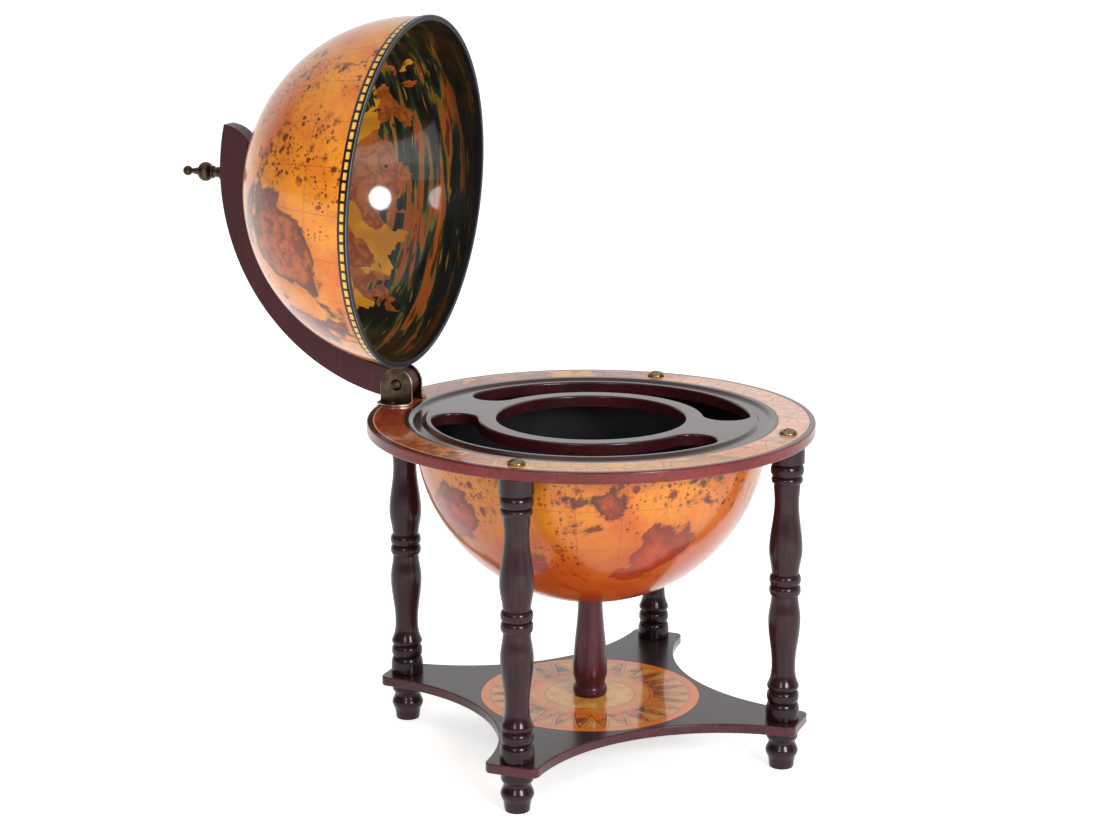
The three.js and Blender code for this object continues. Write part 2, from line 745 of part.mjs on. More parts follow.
function spacerProfile() {
  const crown = lidPoleZ + seat;
  const shoulder = crown + poleSpacerRadius * Math.sin(sagAngle);
  const bore = poleRodRadius + seat;
  const reach = poleSpacerRadius;
  return [[bore, crown], [reach, shoulder], [reach, spacerTop], [bore, spacerTop], [bore, crown]];
}

// Lid, drawn about its own pole axis with the rim's underside at zero: shell and rim
function lidShellProfile() {
  const hole = poleRodRadius + poleHolePlay;
  const foot = shellBottom - lidCentreZ;
  return [
    ...meridian(globeRadius, 0, foot, riseAt(globeRadius, poleWasherRadius)),
    [hole, riseAt(globeRadius, hole)],
    [hole, riseAt(globeInner, hole)],
    ...meridian(globeInner, 0, riseAt(globeInner, poleWasherRadius), foot),
    [riseAt(globeRadius, foot), foot],
  ];
}

function lidRimProfile() {
  const lipTop = rimLipTop - lidCentreZ;
  const lipOuter = riseAt(globeInner - rimLipPlay, lipTop);
  const lipInner = lipOuter - rimLipWall;
  const shoulder = rimHeight;
  return [
    [lipInner, 0],
    [rimOuterRadius - rimEdgeRound, 0],
    [rimOuterRadius, rimEdgeRound],
    [rimOuterRadius, shoulder],
    [lipOuter, shoulder],
    [lipOuter, lipTop],
    [lipInner, lipTop],
    [lipInner, 0],
  ];
}

// Stand
const stand = new THREE.Group();
part(stand, "shelf", shelf(), darkBoard());
const medallionDisc = ringProfile(screwRadius + seat, medallionRadius, shelfTop - paperThickness, shelfTop);
part(stand, "medallion", turned(medallionDisc, roundSides), mapPaper());
part(stand, "pillar", turned(pillarProfile()), mahogany());
part(stand, "pillar_screw", flatScrew(shelfUnder, -1, shelfTop + screwDepth), zincSteel());
places.forEach(([name, turn]) => {
  const [x, y] = [legCircleRadius * Math.cos(turn), legCircleRadius * Math.sin(turn)];
  const stud = rod(studRadius, shelfUnder - studDepthInFoot, shelfTop + studDepthInLeg);
  const flush = flatScrew(boardTop, 1, legTop - screwDepth + seat);
  part(stand, `leg_${name}`, turned(legProfile()), mahogany()).position.set(x, y, 0);
  part(stand, `foot_${name}`, turned(footProfile()), mahogany()).position.set(x, y, 0);
  part(stand, `leg_stud_${name}`, stud, zincSteel()).position.set(x, y, 0);
  const screw = name === "left" ? flush : capScrew();
  part(stand, `leg_screw_${name}`, screw, antiqueBrass()).position.set(x, y, 0);
});
part(stand, "table_board", tableBoard(), darkBoard());
part(stand, "map_band", mapBand(), mapPaper());
part(stand, "bowl", turned(bowlProfile(), roundSides), mapPaper());
part(stand, "bowl_floor", turned(bowlFloorProfile(), roundSides / 2), blackLacquer());
const floorTop = bowlCentreZ - globeInner + bowlFloorHeight + bowlFloorThickness;
const bowlBoltTip = bowlCentreZ - globeRadius - screwDepth + seat;
const bowlBolt = roundScrew(screwRadius, bowlBoltTip, floorTop + seat, boltHeadRadius, boltHeadHeight);
part(stand, "bowl_bolt", bowlBolt, zincSteel());
[["front", -1], ["rear", 1]].forEach(([name, side]) => {
  const under = earBottom + earThickness + seat;
  const tip = under - earScrewLength;
  const screw = roundScrew(earScrewRadius, tip, under, earScrewHeadRadius, earScrewHeadHeight);
  part(stand, `hinge_ear_${name}`, ear(side), antiqueBrass());
  part(stand, `ear_screw_${name}`, screw, antiqueBrass()).position.set(hinge.x, side * earScrewReach, 0);
});
const earOuter = earInner + earThickness + seat;
const boltTip = earOuter + hingeNutThickness + seat;
const hingeBolt = roundScrew(hingeBoltRadius, -boltTip, earOuter, hingeHeadRadius, hingeHeadHeight);
const hingeNutBottom = -earOuter - hingeNutThickness;
const hingeNut = hexNut(hingeNutRadius, hingeBoltRadius + seat, hingeNutBottom, hingeNutThickness);
part(stand, "hinge_bolt", hingeBolt.rotateX(Math.PI / 2), antiqueBrass()).position.copy(hinge);
part(stand, "hinge_nut", hingeNut.rotateX(Math.PI / 2), antiqueBrass()).position.copy(hinge);

// Arm and what is fixed to it, swung open at the hinge
const swing = new THREE.Group();
swing.position.copy(hinge);
swing.rotation.y = -openAngle;
const shut = new THREE.Group();
shut.position.copy(hinge).negate();
swing.add(shut);
part(shut, "arm", arm(), mahogany());
part(shut, "finial", turned(finialProfile()), antiqueBrass());
part(shut, "pole_rod", rod(poleRodRadius, nutBottom, finialBottom + finialBoreDepth - seat), zincSteel());
part(shut, "pole_spacer", turned(spacerProfile()), blackLacquer());
const poleNut = hexNut(poleNutRadius, poleRodRadius + seat, nutBottom, poleNutThickness);
part(shut, "pole_nut", poleNut, zincSteel());

// Lid, tipped out of line about its pole
const lid = new THREE.Group();
lid.position.set(0, 0, lidPoleZ);
lid.quaternion.setFromAxisAngle(new THREE.Vector3(Math.sin(sagTurn), Math.cos(sagTurn), 0), sagAngle);
const globe = new THREE.Group();
globe.position.set(0, 0, -globeRadius);
lid.add(globe);
shut.add(lid);
part(globe, "lid_shell", turned(lidShellProfile(), roundSides), mapPaper());
part(globe, "lid_rim", turned(lidRimProfile(), roundSides), blackLacquer());
const washerHole = poleRodRadius + poleHolePlay;
const washer = ringProfile(washerHole, poleWasherRadius, washerTop - poleWasherThickness, washerTop);
part(globe, "pole_washer", turned(washer), blackLacquer());

// Whole part, set with the middle of its floor plan at the origin
const finialReach =
  hingeRadius - hinge.z + finialBottom + finialNeckHeight + finialBeadHeight + finialStemHeight +
  riseAt(finialBallRadius, finialStemTopRadius) + finialBallRadius;
const globeBar = new THREE.Group();
globeBar.position.x = (finialReach - boardRadius) / 2;
globeBar.add(stand, swing);

export default globeBar;
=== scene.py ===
"""Looks of the floor globe bar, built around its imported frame."""

import logging
import math
from collections.abc import Callable, Sequence
from dataclasses import dataclass
from enum import Enum
from functools import partial

import bmesh
import bpy
from mathutils import Matrix, Vector


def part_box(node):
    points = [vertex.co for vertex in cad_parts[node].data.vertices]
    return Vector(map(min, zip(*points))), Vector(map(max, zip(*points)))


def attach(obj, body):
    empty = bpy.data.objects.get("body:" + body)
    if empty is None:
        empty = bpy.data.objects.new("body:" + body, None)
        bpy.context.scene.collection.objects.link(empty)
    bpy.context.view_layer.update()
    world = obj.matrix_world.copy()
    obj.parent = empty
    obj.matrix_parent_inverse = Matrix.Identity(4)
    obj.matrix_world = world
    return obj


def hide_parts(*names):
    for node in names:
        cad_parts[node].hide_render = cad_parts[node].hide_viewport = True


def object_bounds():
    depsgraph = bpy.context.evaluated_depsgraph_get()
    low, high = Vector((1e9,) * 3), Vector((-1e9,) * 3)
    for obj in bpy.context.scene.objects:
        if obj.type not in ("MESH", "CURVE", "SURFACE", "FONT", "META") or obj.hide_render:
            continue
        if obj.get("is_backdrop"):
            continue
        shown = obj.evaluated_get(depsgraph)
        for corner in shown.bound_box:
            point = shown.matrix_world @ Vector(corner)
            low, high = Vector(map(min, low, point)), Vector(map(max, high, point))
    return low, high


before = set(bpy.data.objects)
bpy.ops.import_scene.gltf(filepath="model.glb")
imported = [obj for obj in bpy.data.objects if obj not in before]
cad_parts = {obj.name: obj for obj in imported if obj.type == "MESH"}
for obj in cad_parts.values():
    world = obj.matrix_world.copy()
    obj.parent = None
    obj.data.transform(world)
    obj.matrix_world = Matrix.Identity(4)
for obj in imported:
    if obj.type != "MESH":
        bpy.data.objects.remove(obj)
CAD_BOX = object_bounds()

MM = 0.001
ROUND_SIDES = 160
TURNED_SIDES = 56
SMALL_SIDES = 32
SHARP_DEGREES = 38.0

# Sizes that several pieces share, in millimetres from the stand's axis and the floor
STAND_X = (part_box("pillar")[0][0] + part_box("pillar")[1][0]) / 2 / MM
SEAT = 0.3
HINGE = Vector((-198.5, 0, 347.0))
GLOBE_RADIUS = 169.4
GLOBE_INNER = GLOBE_RADIUS - 2.6
BOWL_CENTRE_Z = 319.9
BOARD_TOP_Z = 329.0
BOARD_UNDER_Z = 318.0
BAND_INNER = 178.5
BAND_OUTER = 209.0
SHELF_SEAT_Z = 49.3
SHELL_FOOT = 3.3
LEG_CIRCLE = 196.0
SAG_DEGREES = 3.33
SAG_LINE_DEGREES = 13.4
ARM_CENTRE_Z = 320.7
RIM_BOTTOM_Z = 326.5
PLACES = {"right": 0.0, "back": 90.0, "left": 180.0, "front": -90.0}

Point = tuple[float, float]
Profile = list[Point]
Spot = Sequence[float]
Piece = bpy.types.Object
Socket = bpy.types.NodeSocket
Add = Callable[..., Socket]

log = logging.getLogger("globe_bar")


class Body(Enum):
    """The frame's bodies that carry new pieces."""

    STAND = "stand"
    ARM = "arm"
    LID = "lid"


class Slot(Enum):
    """The record's material slots, passed along with new pieces but not read."""

    TURNED_WOOD = "turned_wood"
    ARM_WOOD = "arm_wood"
    DARK_BOARD = "dark_board"
    PRINTED_PAPER = "printed_paper"
    BLACK_LACQUER = "black_lacquer"
    ANTIQUE_BRASS = "antique_brass"


class Shaping(Enum):
    """What a shape does to the piece that it is laid over."""

    CUT = "DIFFERENCE"
    MEET = "INTERSECT"


class Node(Enum):
    """The kinds of node in use: Blender's type, its settings, the output to take and the inputs to fill."""

    MIX = ("Mix", {"data_type": "RGBA"}, 2, (0, 6, 7))
    RAMP = ("MapRange", {"interpolation_type": "SMOOTHSTEP"}, 0)
    PLUS = ("Math", {"operation": "ADD"}, 0)
    MINUS = ("Math", {"operation": "SUBTRACT"}, 0)
    TIMES = ("Math", {"operation": "MULTIPLY"}, 0)
    TIMES_PLUS = ("Math", {"operation": "MULTIPLY_ADD"}, 0)
    OVER = ("Math", {"operation": "DIVIDE"}, 0)
    LARGER = ("Math", {"operation": "MAXIMUM"}, 0)
    UNSIGNED = ("Math", {"operation": "ABSOLUTE"}, 0)
    WHOLE = ("Math", {"operation": "FLOOR"}, 0)
    BEARING = ("Math", {"operation": "ARCTAN2"}, 0)
    ZIGZAG = ("Math", {"operation": "PINGPONG"}, 0)
    PLACE = ("TexCoord", {}, "Object")
    FACING = ("TexCoord", {}, "Generated")
    SPREAD = ("UVMap", {}, 0)
    MAP = ("Mapping", {}, 0)
    X = ("SeparateXYZ", {}, 0)
    Y = ("SeparateXYZ", {}, 1)
    Z = ("SeparateXYZ", {}, 2)
    RED = ("SeparateColor", {}, 0)
    SCALED = ("VectorMath", {"operation": "MULTIPLY"}, 0)
    APART = ("VectorMath", {"operation": "DISTANCE"}, "Value")
    LENGTH = ("VectorMath", {"operation": "LENGTH"}, "Value")
    NOISE = ("TexNoise", {}, 0)
    CHANCE = ("TexWhiteNoise", {"noise_dimensions": "1D"}, 0)
    CELLS = ("TexVoronoi", {}, "Distance")
    SEAMS = ("TexVoronoi", {"feature": "DISTANCE_TO_EDGE"}, "Distance")
    BUMP = ("Bump", {}, 0)

    def __init__(
        self, kind: str, settings: dict[str, str], output: int | str, inputs: Sequence[int] = (0, 1, 2)
    ) -> None:
        """Keeps the four parts under their names."""
        self.kind, self.settings, self.output, self.inputs = kind, settings, output, inputs


# Node trees and colours


def linear(colour: str) -> tuple[float, float, float, float]:
    """Turns an sRGB hex colour into linear red, green, blue and alpha.

    Args:
        colour: six hex digits after a hash.

    Returns:
        Four linear channels, alpha 1.
    """
    channels = [int(colour[i : i + 2], 16) / 255 for i in (1, 3, 5)]
    red, green, blue = (c / 12.92 if c <= 0.04045 else ((c + 0.055) / 1.055) ** 2.4 for c in channels)
    return red, green, blue, 1.0


def add_node(tree: bpy.types.NodeTree, node: Node, *values: object, **named: object) -> Socket:
    """Adds a node with its settings, its input values and its links.

    Args:
        tree: the material's or world's node tree.
        node: the kind of node.
        values: what its first inputs take, each a socket, a plain value or a hex colour.
        named: the same for inputs called by their names.

    Returns:
        The output that this kind of node is used for.
    """
    made = tree.nodes.new("ShaderNode" + node.kind)
    for name, value in node.settings.items():
        setattr(made, name, value)
    for name, value in [*zip(node.inputs, values), *named.items()]:
        if isinstance(value, Socket):
            tree.links.new(value, made.inputs[name])
        else:
            made.inputs[name].default_value = linear(value) if isinstance(value, str) else value
    return made.outputs[node.output]


def cloud(
    add: Add,
    size: float,
    detail: float = 3.0,
    stretch: Spot = (1, 1, 1),
    shift: Spot = (0, 0, 0),
    warp: float = 0.0,
    roughness: float = 0.5,
) -> Socket:
    """Draws noise in the piece's own coordinates.

    Args:
        add: adds a node to the tree.
        size: a patch's size in millimetres.
        detail: how many finer layers it has.
        stretch: how much finer it is along each axis.
        shift: where in the noise it starts.
        warp: how far the noise is pulled about.
        roughness: how strong the finer layers are.

    Returns:
        A number, mostly between 0.3 and 0.7.
    """
    laid = add(Node.MAP, add(Node.PLACE), Location=shift, Scale=stretch)
    return add(Node.NOISE, laid, Scale=1 / (size * MM), Detail=detail, Roughness=roughness, Distortion=warp)


def patches(add: Add, low: float, high: float, size: float, detail: float = 3.0, **noise: object) -> Socket:
    """Draws soft patches: 0 where a cloud is under low, 1 where it is over high."""
    return add(Node.RAMP, cloud(add, size, detail, **noise), low, high)


def near(add: Add, spot: Spot, radius: float, blur: float) -> Socket:
    """Marks a round patch in the piece's own coordinates.

    Args:
        add: adds a node to the tree.
        spot: the patch's middle in millimetres.
        radius: its radius in millimetres.
        blur: half the width of its soft edge in millimetres.

    Returns:
        1 in the patch, falling to 0 outside it.
    """
    away = add(Node.APART, add(Node.PLACE), [c * MM for c in spot])
    return add(Node.RAMP, away, (radius + blur) * MM, (radius - blur) * MM)


def reach_from_axis(add: Add) -> Socket:
    """Measures how far a point of a flat round piece lies from its middle, in metres."""
    return add(Node.LENGTH, add(Node.SCALED, add(Node.PLACE), (1, 1, 0)))


def wash(add: Add, drawn: Socket, colour: Socket | str, where: Socket, strength: Socket | float) -> Socket:
    """Lays a colour over a drawing, as strongly as two shares say together."""
    return add(Node.MIX, add(Node.TIMES, where, strength), drawn, colour)


# Finishes


@dataclass(frozen=True)
class Relief:
    """An uneven surface: its pattern's size and finer layers, and how strong, deep and drawn out it is."""

    size_mm: float
    detail: float
    strength: float
    depth_mm: float
    stretch: Spot = (1, 1, 1)


@dataclass(frozen=True)
class Lacquered:
    """What every finish here shares: a name, a body roughness and a clear coat over it."""

    name: str
    roughness: float
    coat: float
    coat_roughness: float = 0.08
    ior: float = 1.5
    metallic: float = 0.0
    sheen_under_coat: float = 0.12

    def colour(self, add: Add) -> Socket:
        """Draws the finish's colour."""
        raise NotImplementedError

    def relief(self) -> Relief | None:
        """Says how uneven the surface is, or nothing where it is smooth."""
        return None

    def material(self) -> bpy.types.Material:
        """Makes the Blender material, once for each finish.

        Returns:
            The material, new or made before.
        """
        made = bpy.data.materials.get(self.name)
        if made:
            return made
        made = bpy.data.materials.new(self.name)
        made.use_nodes = True
        tree = made.node_tree
        add = partial(add_node, tree)
        inputs = tree.nodes["Principled BSDF"].inputs
        inputs["Roughness"].default_value = self.roughness
        inputs["Metallic"].default_value = self.metallic
        inputs["Coat Weight"].default_value = self.coat
        inputs["Coat Roughness"].default_value = self.coat_roughness
        if not self.metallic:
            inputs["IOR"].default_value = self.ior
            inputs["Specular IOR Level"].default_value = self.sheen_under_coat
        tree.links.new(self.colour(add), inputs["Base Color"])
        uneven = self.relief()
        if uneven:
            height = cloud(add, uneven.size_mm, uneven.detail, uneven.stretch)
            bump = add(Node.BUMP, Height=height, Strength=uneven.strength, Distance=uneven.depth_mm * MM)
            tree.links.new(bump, inputs["Normal"])
        return made


# Mahogany-stained rubberwood and fibreboard, turned or routed, then sprayed with glossy lacquer:
# nearly black in the shade, wine red where light gets into it, with faint streaks along the grain.
# The streaks are drawn about 3 mm wide, broader than real pores, so that they show
@dataclass(frozen=True, kw_only=True)
class StainedWood(Lacquered):
    """Dark stained wood under lacquer."""

    dark: str
    light: str
    grain_mm: float = 3.0
    along: Spot = (1, 1, 0.06)

    def colour(self, add: Add) -> Socket:
        """Streaks of two stains, drawn out along the grain.

        Args:
            add: adds a node to the tree.

        Returns:
            The stained wood's colour.
        """
        streak = cloud(add, self.grain_mm, 4, self.along)
        patch = cloud(add, self.grain_mm * 15, 2)
        share = add(Node.TIMES_PLUS, streak, 0.6, add(Node.TIMES, patch, 0.4))
        return add(Node.MIX, add(Node.RAMP, share, 0.38, 0.62), self.dark, self.light)

    def relief(self) -> Relief:
        """Pores under the lacquer, too shallow to feel."""
        return Relief(self.grain_mm / 2, 3, 0.05, 0.1, self.along)


# Black alkyd lacquer on moulded plastic and board: an even near-black with a faint orange-peel surface
@dataclass(frozen=True, kw_only=True)
class SprayedLacquer(Lacquered):
    """One sprayed colour with slight unevenness."""

    dark: str
    light: str

    def colour(self, add: Add) -> Socket:
        """Two close tones in soft patches."""
        return add(Node.MIX, patches(add, 0.35, 0.65, 30), self.dark, self.light)

    def relief(self) -> Relief:
        """Orange peel of the spray, about 2 mm across."""
        return Relief(2, 1, 0.04, 0.1)


# Cast or pressed brass, darkened in acid and rubbed bright again on its high places
@dataclass(frozen=True, kw_only=True)
class DarkenedBrass(Lacquered):
    """Antiqued brass, bare of lacquer."""

    coat: float = 0.0
    metallic: float = 1.0
    dark: str
    light: str

    def colour(self, add: Add) -> Socket:
        """Dark stain with rubbed patches."""
        return add(Node.MIX, patches(add, 0.36, 0.7, 9, 4, warp=0.4), self.dark, self.light)

    def relief(self) -> Relief:
        """Small dents and pits of the casting."""
        return Relief(3, 3, 0.12, 0.2)


# Bright zinc plate on rolled steel, dulled in use
@dataclass(frozen=True, kw_only=True)
class ZincPlate(DarkenedBrass):
    """Plated steel of the hidden bolts."""


# Antique-style map printed on paper, pasted in gores over a moulded shell and varnished: amber sea,
# burnt-orange land with soft brown shading along its ragged coasts, small dark islands, thin grid lines
@dataclass(frozen=True)
class PrintedMap(Lacquered):
    """A made-up old map under clear varnish, its lands and crowds of islands at given spots and radii."""

    sea: str = "#d48424"
    sea_deep: str = "#bf611b"
    sea_red: str = "#8f250c"
    land: str = "#a8501e"
    land_deep: str = "#6e3217"
    coast: str = "#452214"
    island: str = "#562214"
    ink: str = "#3d2213"
    continent_mm: float = 95.0
    land_level: float = 0.63
    lands: Sequence[Spot] = ()
    isles: Sequence[Spot] = ()
    isle_mm: float = 12.0
    outline: float = 0.006
    shift: Spot = (0, 0, 0)
    meridians: float = 24.0
    parallel_mm: float = 44.3
    seas_redden: float = 0.0

    def islands(self, add: Add, drawn: Socket) -> Socket:
        """Adds crowds of islands of three sizes, each a dark core in a soft reddish edge.

        Args:
            add: adds a node to the tree.
            drawn: the map so far.

        Returns:
            The map with its islands.
        """
        crowd = patches(add, 0.54, 0.60, 60, 2, shift=(3.1, 0, 0))
        for *spot, radius in self.isles:
            crowd = add(Node.LARGER, crowd, near(add, spot, radius, radius / 3))
        for share in (1.0, 0.5, 0.27):
            size = self.isle_mm * share
            from_cell = add(Node.CELLS, add(Node.PLACE), Scale=1 / (size * MM))
            pick = add(Node.RED, from_cell.node.outputs["Color"])
            ragged = cloud(add, size * 0.7, 3, shift=(share, 7 * share, 0), roughness=0.6)
            away = add(Node.TIMES_PLUS, ragged, -0.9, add(Node.PLUS, from_cell, 0.45))
            reach = add(Node.TIMES_PLUS, add(Node.RAMP, pick, 0.35, 1.0), 0.34, 0.02)
            depth = add(Node.MINUS, reach, away)
            halo, core = add(Node.RAMP, depth, -0.16, 0.04), add(Node.RAMP, depth, -0.01, 0.07)
            drawn = wash(add, drawn, self.land_deep, halo, add(Node.TIMES, crowd, 0.6))
            drawn = wash(add, drawn, self.island, core, add(Node.TIMES, crowd, 0.85))
        return drawn

    def base(self, add: Add) -> Socket:
        """Sea, land, coast and islands.

        Args:
            add: adds a node to the tree.

        Returns:
            The map without its grid.
        """
        level, shift = self.land_level, self.shift
        ground = cloud(add, self.continent_mm, 7, shift=shift, warp=0.4, roughness=0.6)
        for *spot, radius in self.lands:
            ground = add(Node.TIMES_PLUS, near(add, spot, radius, radius / 2), 0.17, ground)
        sea = add(Node.MIX, patches(add, 0.36, 0.66, 60, 4, shift=shift), self.sea, self.sea_deep)
        grime = patches(add, 0.48, 0.72, 7, 5, shift=shift, roughness=0.7)
        land = add(Node.MIX, patches(add, 0.4, 0.62, 14, 5, roughness=0.7), self.land, self.land_deep)
        off_coast = add(Node.UNSIGNED, add(Node.MINUS, ground, level))
        shore = add(Node.TIMES, add(Node.RAMP, ground, level - 0.035, level), 0.75)
        above_sea = add(Node.RAMP, ground, level - 0.003, level + 0.003)
        drawn = add(Node.MIX, above_sea, wash(add, sea, self.land, grime, 0.4), land)
        drawn = self.islands(add, drawn)
        drawn = wash(add, drawn, self.coast, add(Node.RAMP, ground, level + 0.11, level), shore)
        line = add(Node.RAMP, off_coast, self.outline, self.outline / 3)
        return wash(add, drawn, self.coast, line, 0.8)

    def lines(self, add: Add, drawn: Socket) -> Socket:
        """Adds the map's grid, drawn from the turned piece's own round and along coordinates.

        Args:
            add: adds a node to the tree.
            drawn: the map so far.

        Returns:
            The map under its grid.
        """
        spread = add(Node.SPREAD)
        round_off = add(Node.ZIGZAG, add(Node.TIMES, add(Node.X, spread), self.meridians), 0.5)
        up_off = add(Node.ZIGZAG, add(Node.TIMES, add(Node.Y, spread), 1 / (self.parallel_mm * MM)), 0.5)
        round_line = add(Node.RAMP, round_off, 0.012, 0.004)
        up_line = add(Node.RAMP, up_off, 0.010, 0.004)
        return wash(add, drawn, self.ink, add(Node.LARGER, round_line, up_line), 0.4)

    def colour(self, add: Add) -> Socket:
        """The map with its grid, redder towards the bottom where asked.

        Args:
            add: adds a node to the tree.

        Returns:
            The finished map.
        """
        drawn = self.lines(add, self.base(add))
        if not self.seas_redden:
            return drawn
        low = add(Node.RAMP, add(Node.Z, add(Node.PLACE)), -0.01, -0.16)
        return wash(add, drawn, self.sea_red, low, self.seas_redden)


@dataclass(frozen=True)
class BorderedMap(PrintedMap):
    """The lid's map, with the gilt and black chequer printed round its edge."""

    gilt: str = "#e6ab3c"
    black: str = "#15131a"
    blocks: float = 112.0
    filled: float = 0.7
    chequer_foot_mm: float = 3.6
    chequer_top_mm: float = 7.3
    border_top_mm: float = 9.9

    def colour(self, add: Add) -> Socket:
        """The map above the border, and the chequer in it, measured up from the shell's foot.

        Args:
            add: adds a node to the tree.

        Returns:
            The map with its border.
        """
        drawn = super().colour(add)
        spread = add(Node.SPREAD)
        height = add(Node.PLUS, add(Node.Y, spread), SHELL_FOOT * MM)

        def under(edge: float, blur: float) -> Socket:
            """1 under a height and 0 over it, or the other way round where blur is negative."""
            return add(Node.RAMP, height, (edge + blur) * MM, (edge - blur) * MM)

        cell = add(Node.ZIGZAG, add(Node.TIMES, add(Node.X, spread), self.blocks), 0.5)
        half = self.filled / 2
        block = add(Node.RAMP, cell, half + 0.015, half - 0.015)
        block = add(Node.TIMES, under(self.chequer_top_mm, 0.1), block)
        inside = add(Node.TIMES, under(self.chequer_foot_mm, -0.1), block)
        border = add(Node.MIX, inside, self.black, self.gilt)
        return add(Node.MIX, under(self.border_top_mm, 0.15), drawn, border)


@dataclass(frozen=True)
class BandMap(PrintedMap):
    """The ring's map: crowded, crossed by fine borders, with a pale line outside and a red line inside."""

    pale: str = "#e0a07a"
    red: str = "#6a2018"
    border_mm: float = 16.0
    tint_blur_mm: float = 60.0
    washes_and_reflection: Sequence[tuple[Spot, float, str, float]] = (
        ((-180, -60, BOARD_TOP_Z), 120, "#8c2618", 0.75),
        ((80, -185, BOARD_TOP_Z), 100, "#dc9834", 0.65),
        # pale peach at the back right: a painted reflection of the white backdrop, not print
        ((150, 100, BOARD_TOP_Z), 150, "#e8b89a", 0.75),
    )

    def colour(self, add: Add) -> Socket:
        """The map with its borders: redder at the left, golden in front, and pale at the right, where a
        painted reflection of the white backdrop lies.

        Args:
            add: adds a node to the tree.

        Returns:
            The finished band.
        """
        drawn = self.base(add)
        for spot, radius, tint, share in self.washes_and_reflection:
            drawn = wash(add, drawn, tint, near(add, spot, radius, self.tint_blur_mm), share)
        from_border = add(Node.SEAMS, add(Node.PLACE), Scale=1 / (self.border_mm * MM))
        drawn = wash(add, drawn, self.ink, add(Node.RAMP, from_border, 0.045, 0.015), 0.55)
        reach = reach_from_axis(add)
        for edge, side, line in ((BAND_OUTER, -1, self.pale), (BAND_INNER, 1, self.red)):
            strip = add(Node.RAMP, reach, (edge + side * 1.6) * MM, (edge + side * 1.2) * MM)
            drawn = add(Node.MIX, strip, drawn, line)
        return drawn


# Offset-printed medallion under varnish: a plain sunburst of outlined triangles round a pale disc
@dataclass(frozen=True)
class Sunburst(Lacquered):
    """A generic round ornament in the map's colours."""

    ground: str = "#d6721a"
    pale: str = "#cc8c38"
    sun: str = "#d8a54c"
    green: str = "#454a2a"
    red: str = "#a03a18"
    ink: str = "#38240f"
    rays: int = 26
    inner_mm: float = 62.0
    outer_mm: float = 97.0
    disc_mm: float = 44.0

    def colour(self, add: Add) -> Socket:
        """Triangles in a ring, with thin outlines, round a disc.

        Args:
            add: adds a node to the tree.

        Returns:
            The finished ornament.
        """
        reach, place = reach_from_axis(add), add(Node.PLACE)
        angle = add(Node.BEARING, add(Node.Y, place), add(Node.X, place))
        turns = add(Node.TIMES, add(Node.PLUS, angle, math.pi), self.rays / (2 * math.pi))
        saw = add(Node.TIMES, add(Node.ZIGZAG, turns, 0.5), 2.0)
        span = (self.outer_mm - self.inner_mm) * MM
        out = add(Node.OVER, add(Node.MINUS, reach, self.inner_mm * MM), span)
        edge = add(Node.MINUS, saw, out)
        chance = add(Node.RAMP, add(Node.CHANCE, W=add(Node.WHOLE, turns)), 0.3, 0.7)
        hue = add(Node.MIX, chance, self.green, self.red)
        ray = add(Node.MIX, patches(add, 0.42, 0.6, 14), hue, self.ground)
        rays = add(Node.MIX, add(Node.RAMP, edge, -0.03, 0.03), self.pale, ray)
        for offset, width, share, line in (
            (0.0, 0.09, 0.85, self.ink), (-0.34, 0.07, 0.7, self.green), (0.42, 0.05, 0.5, self.green)
        ):
            off = add(Node.UNSIGNED, add(Node.MINUS, edge, offset))
            rays = wash(add, rays, line, add(Node.RAMP, off, width, width / 2), share)
        ring = add(Node.TIMES, add(Node.RAMP, out, 0.0, 0.01), add(Node.RAMP, out, 1.0, 0.99))
        middle = add(Node.MIX, patches(add, 0.42, 0.6, 16, 4), self.pale, self.ground)
        inside = add(Node.RAMP, reach, self.inner_mm * MM, (self.inner_mm - 2) * MM)
        drawn = add(Node.MIX, ring, add(Node.MIX, inside, self.ground, middle), rays)
        disc = add(Node.RAMP, reach, (self.disc_mm + 1) * MM, (self.disc_mm - 1) * MM)
        sun = add(Node.MIX, patches(add, 0.42, 0.6, 11, 4), self.sun, self.pale)
        drawn = add(Node.MIX, disc, drawn, sun)
        for radius, share in ((self.inner_mm - 2.5, 0.6), (self.disc_mm, 0.5), (self.outer_mm + 1.0, 0.35)):
            off = add(Node.UNSIGNED, add(Node.MINUS, reach, radius * MM))
            drawn = wash(add, drawn, self.ink, add(Node.RAMP, off, 0.9 * MM, 0.4 * MM), share)
        return drawn


